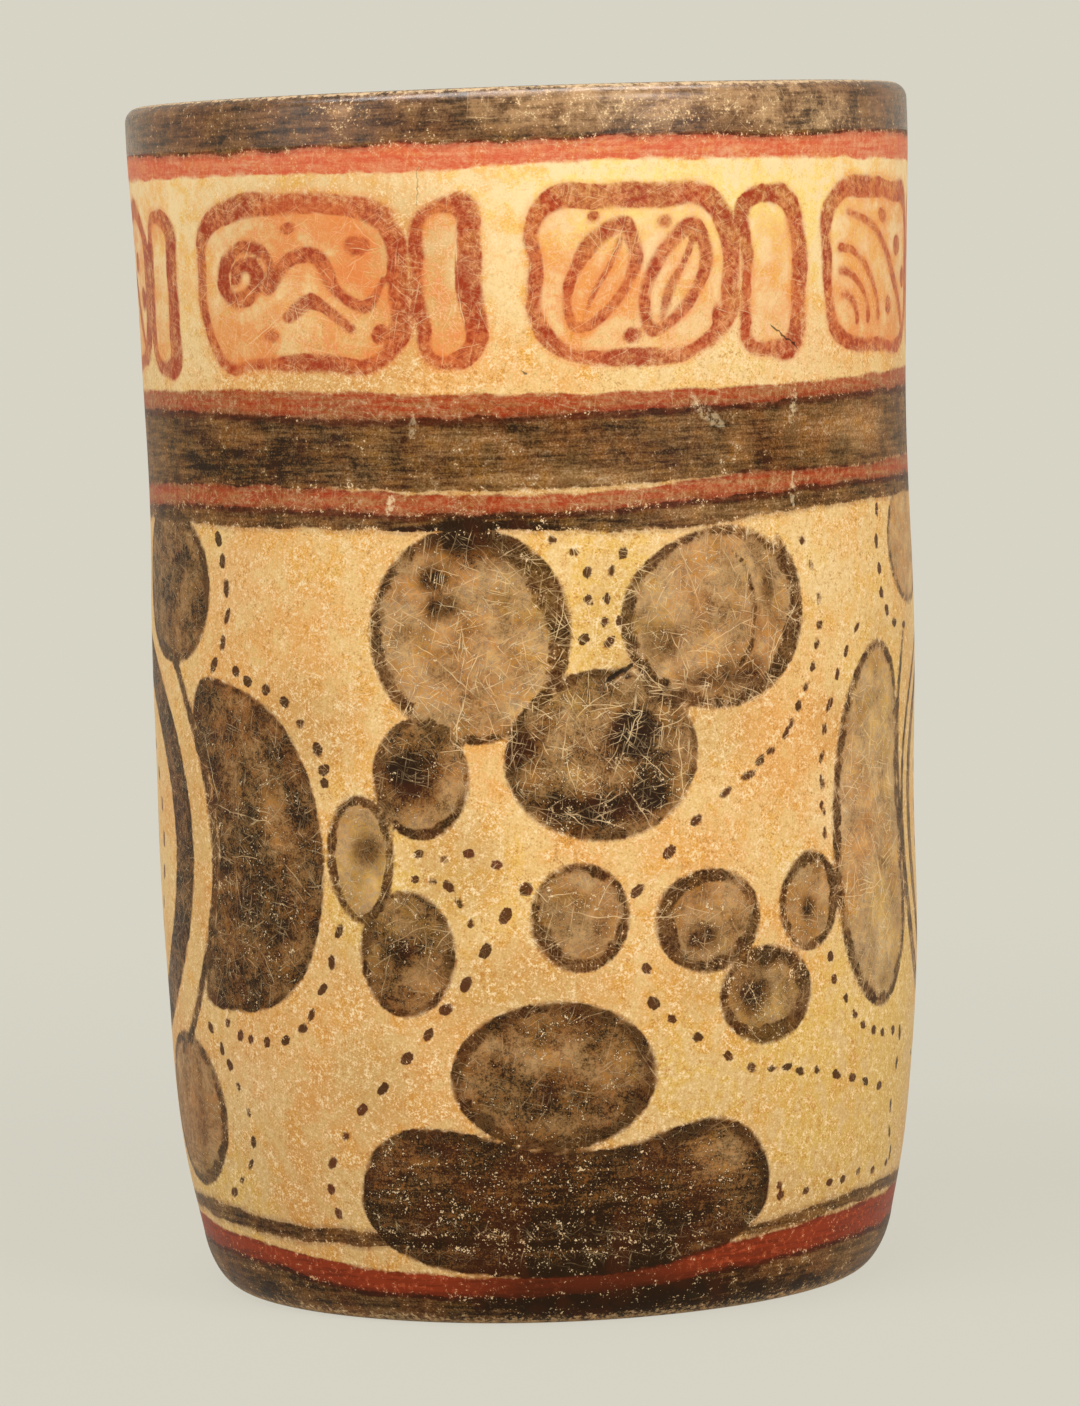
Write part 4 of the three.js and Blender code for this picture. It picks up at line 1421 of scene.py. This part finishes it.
# Burnished slip with its paint and wear. The layers say which paint attributes the piece has
def makeSlip(name, layers, burnish, crackList=(), mendList=()):
    material, tree, shader = newMaterial(name)
    marks = surfaceMarks(tree)
    fine, middle, grain = marks.fine, marks.middle, marks.grain
    ground = creamGround(marks)
    if "clay" in layers:
        slip = brushed(marks, attribute(tree, "slipDistance"), 0.2, 0.6)
        bare = mixColour(ramp(middle, 0.35, 0.65), colours["clay"], colours["clayDark"])
        ground = mixColour(slip, bare, mixColour(burnish["under"], ground, colours["lipGround"]))
    ground, red, redCover = redSlip(marks, ground)
    if "scroll" in layers:
        ground = scrollLayer(marks, ground)
    black, cover = bandCover(marks)
    if "spots" in layers:
        spots, dots = spotCover(marks)
        cover = largest(cover, spots)

    worn = chips(marks, layers)
    scratches = hairScratches(marks, black, largest(black, red * (marks.atFoot + 0.8)), burnish)
    if "clay" in layers:
        scratches = scratches * slip
    worn = worn * largest(ramp(cover, 0.1, 0.5), redCover * 0.8)
    cover = cover * (1.0 - worn * wear["chipDepth"])
    cover = maths("MULTIPLY", cover, 1.0 - scratches * wear["scratchDepth"], clamp=True)

    # the dark slip's own colour, over a ground that it glazes where it is thin
    hue = noise(marks.solid, 0.14, 2.0, 0.5)
    dark = mixColour(ramp(hue, 0.44, 0.6), colours["umber"], colours["warmUmber"])
    dark = mixColour(ramp(middle, 0.54, 0.70, 0.0, 0.55), dark, colours["olive"])
    if "spots" in layers:
        warmDots = maths("MULTIPLY", dots, attribute(tree, "dotWarmth"), clamp=True)
        dark = mixColour(warmDots, dark, colours["dotRed"])
    glaze = mixColour(ramp(cover, 0.45, 0.9), thinGlaze, thickGlaze)
    glazed = mixColour(ramp(cover, 0.0, 0.4), ground, mixColour(1.0, ground, glaze, "MULTIPLY"))
    surface = mixColour(cover, glazed, dark)

    # painted sheen of light off the fine scratches of the rubbed lip, pale chips and scratches, dirt in small
    # pits, mends, and cracks with painted shade in them
    if "edge" in layers:
        # This pale haze is a painted sheen: light glancing off the lip's fine scratches, painted as a pale
        # colour
        rubbed = ramp(marks.streaks * 0.3 + fine * 0.18 + grain * 0.07 + middle * 0.45, 0.42, 0.57, 0.1, 1.0)
        scratchSheen = ramp(marks.scratched, 0.5, 1.1) * rubbed * burnish["scratchSheen"]
        surface = mixColour(scratchSheen, surface, colours["scratchSheen"])
    surface = mixColour(worn * (red * 0.4 + burnish["flakes"]), surface, colours["pale"])
    surface = mixColour(scratches * wear["scratchTone"], surface, colours["pale"])
    pits = ramp(fine * 0.55 + grain * 0.45, 0.365, 0.32)
    dirt = ramp(marks.height, 168.0, 148.0, 0.03, 0.35) + ramp(marks.height, 26.0, 15.0, 0.0, 0.35)
    surface = mixColour(pits * marks.rough * dirt, surface, colours["pit"])
    if mendList:
        surface = mixColour(crackLines(marks, mendList) * ramp(fine, 0.42, 0.56), surface, colours["dusty"])
    if crackList:
        # cracks, slits and creases darken with their own dark clay and with painted shade
        surface = mixColour(crackLines(marks, crackList) * wear["crackTone"], surface, colours["crackDarkAndShade"])

    gloss = ramp(fine, 0.35, 0.65, burnish["smooth"], burnish["dull"]) + worn * wear["chipDull"]
    relief = middle * 0.5 + fine * 0.4 - scratches * 0.2
    bump = addNode(tree, "Bump", {"Strength": 0.7, "Distance": burnish["relief"], "Height": relief})
    feed(shader.inputs["Base Color"], surface)
    feed(shader.inputs["Roughness"], gloss)
    feed(shader.inputs["Specular IOR Level"], burnish["gloss"])
    feed(shader.inputs["Normal"], output(bump))
    return material


# Plain smoothed clay, for the inside
def makeBareClay():
    material, tree, shader = newMaterial("bareClay")
    solid = useGroup(placeGroup, Object=output(addNode(tree, "TexCoord"), "Object"))["Solid"]
    grain = useGroup(grainGroup, Place=solid, Grain=1.2)
    streaks = useGroup(streakGroup, Place=solid, Long=20.0, High=1.6)["Streaks"]
    specks = useGroup(fleckGroup, Place=solid, Cell=2.2, Size=0.3, Share=0.4)["Mask"]
    soot = ramp(noise(solid, 0.05, 4.0, 0.6), 0.5, 0.72, 0.0, 0.55)
    surface = mixColour(ramp(streaks, 0.35, 0.65), colours["clay"], colours["clayDark"])
    surface = mixColour(soot, surface, colours["claySoot"])
    surface = mixColour(specks * 0.5, surface, colours["claySpeck"])
    relief = grain["Height"] * 0.5 + streaks * 0.9
    bump = addNode(tree, "Bump", {"Strength": 0.7, "Distance": 0.0004, "Height": relief})
    feed(shader.inputs["Base Color"], surface)
    feed(shader.inputs["Roughness"], ramp(grain["Tone"], 0.3, 0.7, 0.72, 0.92))
    feed(shader.inputs["Normal"], output(bump))
    return material


# How glossy, uneven and worn the burnish is: least and most roughness, gloss, height of the relief in metres,
# then how strong the hairs, the painted sheen on scratches, fraying beside the bands, calm of the bands,
# lip ground and pale chips are
wallBurnish = {"smooth": 0.36, "dull": 0.52, "gloss": 0.1, "relief": 0.00024, "hairs": 0.8, "scratchSheen": 0.0,
               "frayed": 0.5, "smoothBands": 0.8, "under": 0.0, "flakes": 0.3}
lipBurnish = {"smooth": 0.22, "dull": 0.36, "gloss": 0.36, "relief": 0.0002, "hairs": 0.12, "scratchSheen": 0.58,
              "frayed": 0.0, "smoothBands": 0.6, "under": 0.6, "flakes": 0.6}
lowerSlip = makeSlip("paintedSlipLower", ("spots",), wallBurnish, cracks["lower"], mends["lower"])
upperSlip = makeSlip("paintedSlipUpper", ("scroll",), wallBurnish, cracks["upper"], mends["upper"])
lipSlip = makeSlip("blackSlipLip", ("clay", "edge"), lipBurnish)
footSlip = makeSlip("blackSlipFoot", ("clay", "edge"), wallBurnish)
bareClay = makeBareClay()
print("materials ready")


def seat(piece, node):
    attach(piece, "root")
    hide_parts(node)
    print("made", piece.name, "with", len(piece.data.polygons), "faces")


# Inset and height share along a quarter round, from its start to its end
def quarterRound(steps):
    turns = np.linspace(0, math.pi / 2, steps + 1)
    return [(1 - math.cos(turn), math.sin(turn)) for turn in turns]


footSlab = {
    "columns": 504,
    "heelRows": 14,
    "ringsUnder": 8,
    "ringsOnTop": 10,
    "poleRadius": 8.0,  # innermost ring, inside which triangles meet at the pole
}


# The slab: out along the underside, up the heel, and back over the floor
def makeFootSlab():
    floor, foot, pole = clay["floor"], clay["footRadius"], footSlab["poleRadius"]
    wallInside = insideRadius(np.zeros(1), np.array([floor]))[0]
    under = [(r, 0.0) for r in np.linspace(pole, foot, footSlab["ringsUnder"])]
    heel = [(outsideAt(floor * rise), floor * rise) for rise, _ in quarterRound(footSlab["heelRows"])[1:]]
    top = [(r, floor) for r in np.linspace(wallInside, pole, footSlab["ringsOnTop"])]
    rim = len(under) + len(heel) - 1
    piece = turnedMesh("footSlab", under + heel + top, footSlab["columns"], [footSlip], [rim], footPaint,
                       closed=False)
    seat(piece, "base_slab")


# A strip of wall: up the outside between two heights, and down the inside between two others
def makeWall(name, heights, look, slip, paint):
    outsideFrom, outsideTo, insideFrom, insideTo = (clay[key] for key in heights)
    rowsUp = int(round((outsideTo - outsideFrom) / look["rowHeight"])) + 1
    rowsDown = int(round((insideFrom - insideTo) / look["insideRow"])) + 1
    up = [(outsideAt(z), z) for z in np.linspace(outsideFrom, outsideTo, rowsUp)]
    down = [(insideAt(z), z) for z in np.linspace(insideFrom, insideTo, rowsDown)]
    sharp = [0, rowsUp - 1, rowsUp, rowsUp + rowsDown - 1]
    return turnedMesh(name, up + down, look["columns"], [slip, bareClay], sharp, paint, insideFrom=rowsUp - 1)


lowerWall = {"columns": 504, "rowHeight": 0.8, "insideRow": 10.0}


def makeLowerWall():
    heights = ("floor", "waistOutside", "waistInside", "floor")
    piece = makeWall("paintedLowerWall", heights, lowerWall, lowerSlip, lowerPaint)
    seat(piece, "lower_wall")


upperWall = {"columns": 720, "rowHeight": 0.6, "insideRow": 7.0}


def makeUpperWall():
    heights = ("waistOutside", "lipOutside", "lipInside", "waistInside")
    piece = makeWall("paintedUpperWall", heights, upperWall, upperSlip, upperPaint)
    seat(piece, "upper_wall")


blackLip = {"columns": 720, "sideRows": 10, "roundRows": 8}


# The lip: up the outside, over two quarter rounds with a narrow land between them, and down the inside
def makeBlackLip():
    rounding, rows = clay["lipRounding"], blackLip["sideRows"] + 1
    shoulder = clay["top"] - rounding
    up = [(outsideAt(z), z) for z in np.linspace(clay["lipOutside"], shoulder, rows)[:-1]]
    down = [(insideAt(z), z) for z in np.linspace(shoulder, clay["lipInside"], rows)[1:]]

    def rounded(edge, inset, rise):
        z = shoulder + rounding * rise
        return (lambda azimuth: edge(z)(azimuth) + rounding * inset), z

    turns = quarterRound(blackLip["roundRows"])
    outer = [rounded(outsideAt, -inset, rise) for inset, rise in turns]
    inner = [rounded(insideAt, inset, rise) for inset, rise in turns[::-1]]
    stations = up + outer + inner + down
    piece = turnedMesh("blackLip", stations, blackLip["columns"], [lipSlip], [0, len(stations) - 1], lipPaint)
    seat(piece, "lip_coil")


cornerCoil = {"columns": 252, "sideRows": 3, "roundRows": 8}


# The coil in the corner: up the wall's inside, back down a hollow quarter round, and out along the floor
def makeCornerCoil():
    floor, top, reach = clay["floor"], clay["coilTop"], clay["coilReach"]
    wallSide = [(insideAt(z), z) for z in np.linspace(floor, top, cornerCoil["sideRows"] + 1)]

    def hollow(inset, drop):
        return (lambda azimuth: insideAt(floor)(azimuth) - reach * inset), top - (top - floor) * drop

    stations = wallSide + [hollow(*turn) for turn in quarterRound(cornerCoil["roundRows"])[1:]]
    sharp = [0, len(wallSide) - 1, len(stations) - 1]
    piece = turnedMesh("cornerCoilFired", stations, cornerCoil["columns"], [bareClay], sharp, noPaint)
    seat(piece, "corner_coil")


makeFootSlab()
makeLowerWall()
makeUpperWall()
makeBlackLip()
makeCornerCoil()

# The studio: a pale floor that meets the backdrop without an edge, soft lamps and the photograph's camera
studio = {
    "backdrop": (215, 212, 198),
    "floorRadius": 40.0,
    "shadowReach": (0.10, 0.55),  # the floor turns from shaded to plain over this distance from the vessel
    "plainShare": (0.86, 1.0),
    "worldLight": 0.32,
    "worldColour": (1.0, 0.985, 0.96, 1.0),
    "lamps": {
        # name: place, what it looks at, how wide and high, watts, colour
        "keyLamp": ((0.80, -0.92, 0.62), (0, 0, 0.13), (0.5, 0.5), 9.1, (1.0, 1.0, 1.0)),
        "fillLamp": ((-1.05, -0.66, 0.5), (0, 0, 0.12), (0.8, 0.8), 4.4, (1.0, 1.0, 1.0)),
        "topLamp": ((-0.35, -0.42, 1.13), (0, 0, 0.18), (1.14, 0.05), 6.2, (0.9, 0.95, 1.0)),
        "stripLamp": ((0.04, -0.18, 1.35), (0, -0.04, 0.2), (1.6, 0.36), 27.0, (1.0, 0.99, 0.96)),
    },
    "onlyReflected": ("stripLamp",),  # seen as a glint on the lip, and lights nothing
}


# 1 where the camera looks straight at a surface or the world, or sees it in a glossy or a clear surface
def seenPlain(tree):
    path = addNode(tree, "LightPath")
    return largest(*(output(path, f"Is {ray} Ray") for ray in ("Camera", "Glossy", "Transmission")))


def makeFloor(pale):
    mesh = bpy.data.meshes.new("floor")
    side = studio["floorRadius"]
    corners = [(-side, -side, 0), (side, -side, 0), (side, side, 0), (-side, side, 0)]
    mesh.from_pydata(corners, [], [(0, 1, 2, 3)])
    floor = bpy.data.objects.new("floor", mesh)
    bpy.context.scene.collection.objects.link(floor)
    material = bpy.data.materials.new("paleFloor")
    material.use_nodes = True
    tree = material.node_tree
    tree.nodes.clear()
    flat = vectorMaths("MULTIPLY", output(addNode(tree, "TexCoord"), "Object"), (1.0, 1.0, 0.0))
    away = vectorMaths("LENGTH", flat, which="Value")
    share = seenPlain(tree) * ramp(away, *studio["shadowReach"], *studio["plainShare"])
    shadowed = output(addNode(tree, "BsdfDiffuse", {"Color": pale}))
    plain = output(addNode(tree, "Emission", {"Color": pale, "Strength": 1.0}))
    mixed = output(addNode(tree, "MixShader", {0: share, 1: shadowed, 2: plain}))
    feed(addNode(tree, "OutputMaterial").inputs["Surface"], mixed)
    mesh.materials.append(material)


def makeWorld(pale):
    world = bpy.data.worlds.new("studio")
    bpy.context.scene.world = world
    world.use_nodes = True
    tree = world.node_tree
    tree.nodes.clear()
    light = {"Color": studio["worldColour"], "Strength": studio["worldLight"]}
    soft = output(addNode(tree, "Background", light))
    plain = output(addNode(tree, "Background", {"Color": pale, "Strength": 1.0}))
    mixed = output(addNode(tree, "MixShader", {0: seenPlain(tree), 1: soft, 2: plain}))
    feed(addNode(tree, "OutputWorld").inputs["Surface"], mixed)


def makeLamps():
    for name, (where, target, size, watts, colour) in studio["lamps"].items():
        lamp = bpy.data.lights.new(name, "AREA")
        lamp.color = colour
        lamp.shape = "RECTANGLE"
        lamp.size, lamp.size_y = size
        lamp.energy = watts
        lampObject = bpy.data.objects.new(name, lamp)
        lampObject.location = where
        way = Vector(target) - Vector(where)
        lampObject.rotation_euler = way.to_track_quat("-Z", "Y").to_euler()
        lampObject.visible_diffuse = name not in studio["onlyReflected"]
        bpy.context.scene.collection.objects.link(lampObject)


# The camera looks along +Y from the front, tipped down, and turned a little about its own line of sight
cameraPlace = {
    "distance": 1000.0,
    "height": 175.74,
    "tip": 4.51,
    "turn": 0.057,
    "roll": -1.858,
    "lens": 150.6,
}


def makeCamera():
    data = bpy.data.cameras.new("camera")
    data.lens = cameraPlace["lens"]
    camera = bpy.data.objects.new("camera", data)
    turn = Matrix.Rotation(math.radians(-cameraPlace["turn"]), 4, "Z")
    tip = Matrix.Rotation(math.radians(90 - cameraPlace["tip"]), 4, "X")
    roll = Matrix.Rotation(math.radians(cameraPlace["roll"]), 4, "Z")
    where = Matrix.Translation((0, -cameraPlace["distance"] * mm, cameraPlace["height"] * mm))
    camera.matrix_world = where @ turn @ tip @ roll
    bpy.context.scene.collection.objects.link(camera)
    bpy.context.scene.camera = camera


makeFloor(paintColour(*studio["backdrop"]))
makeWorld(paintColour(*studio["backdrop"]))
makeLamps()
makeCamera()
bpy.context.scene.view_settings.view_transform = "Standard"
print("studio ready")

bpy.context.view_layer.update()
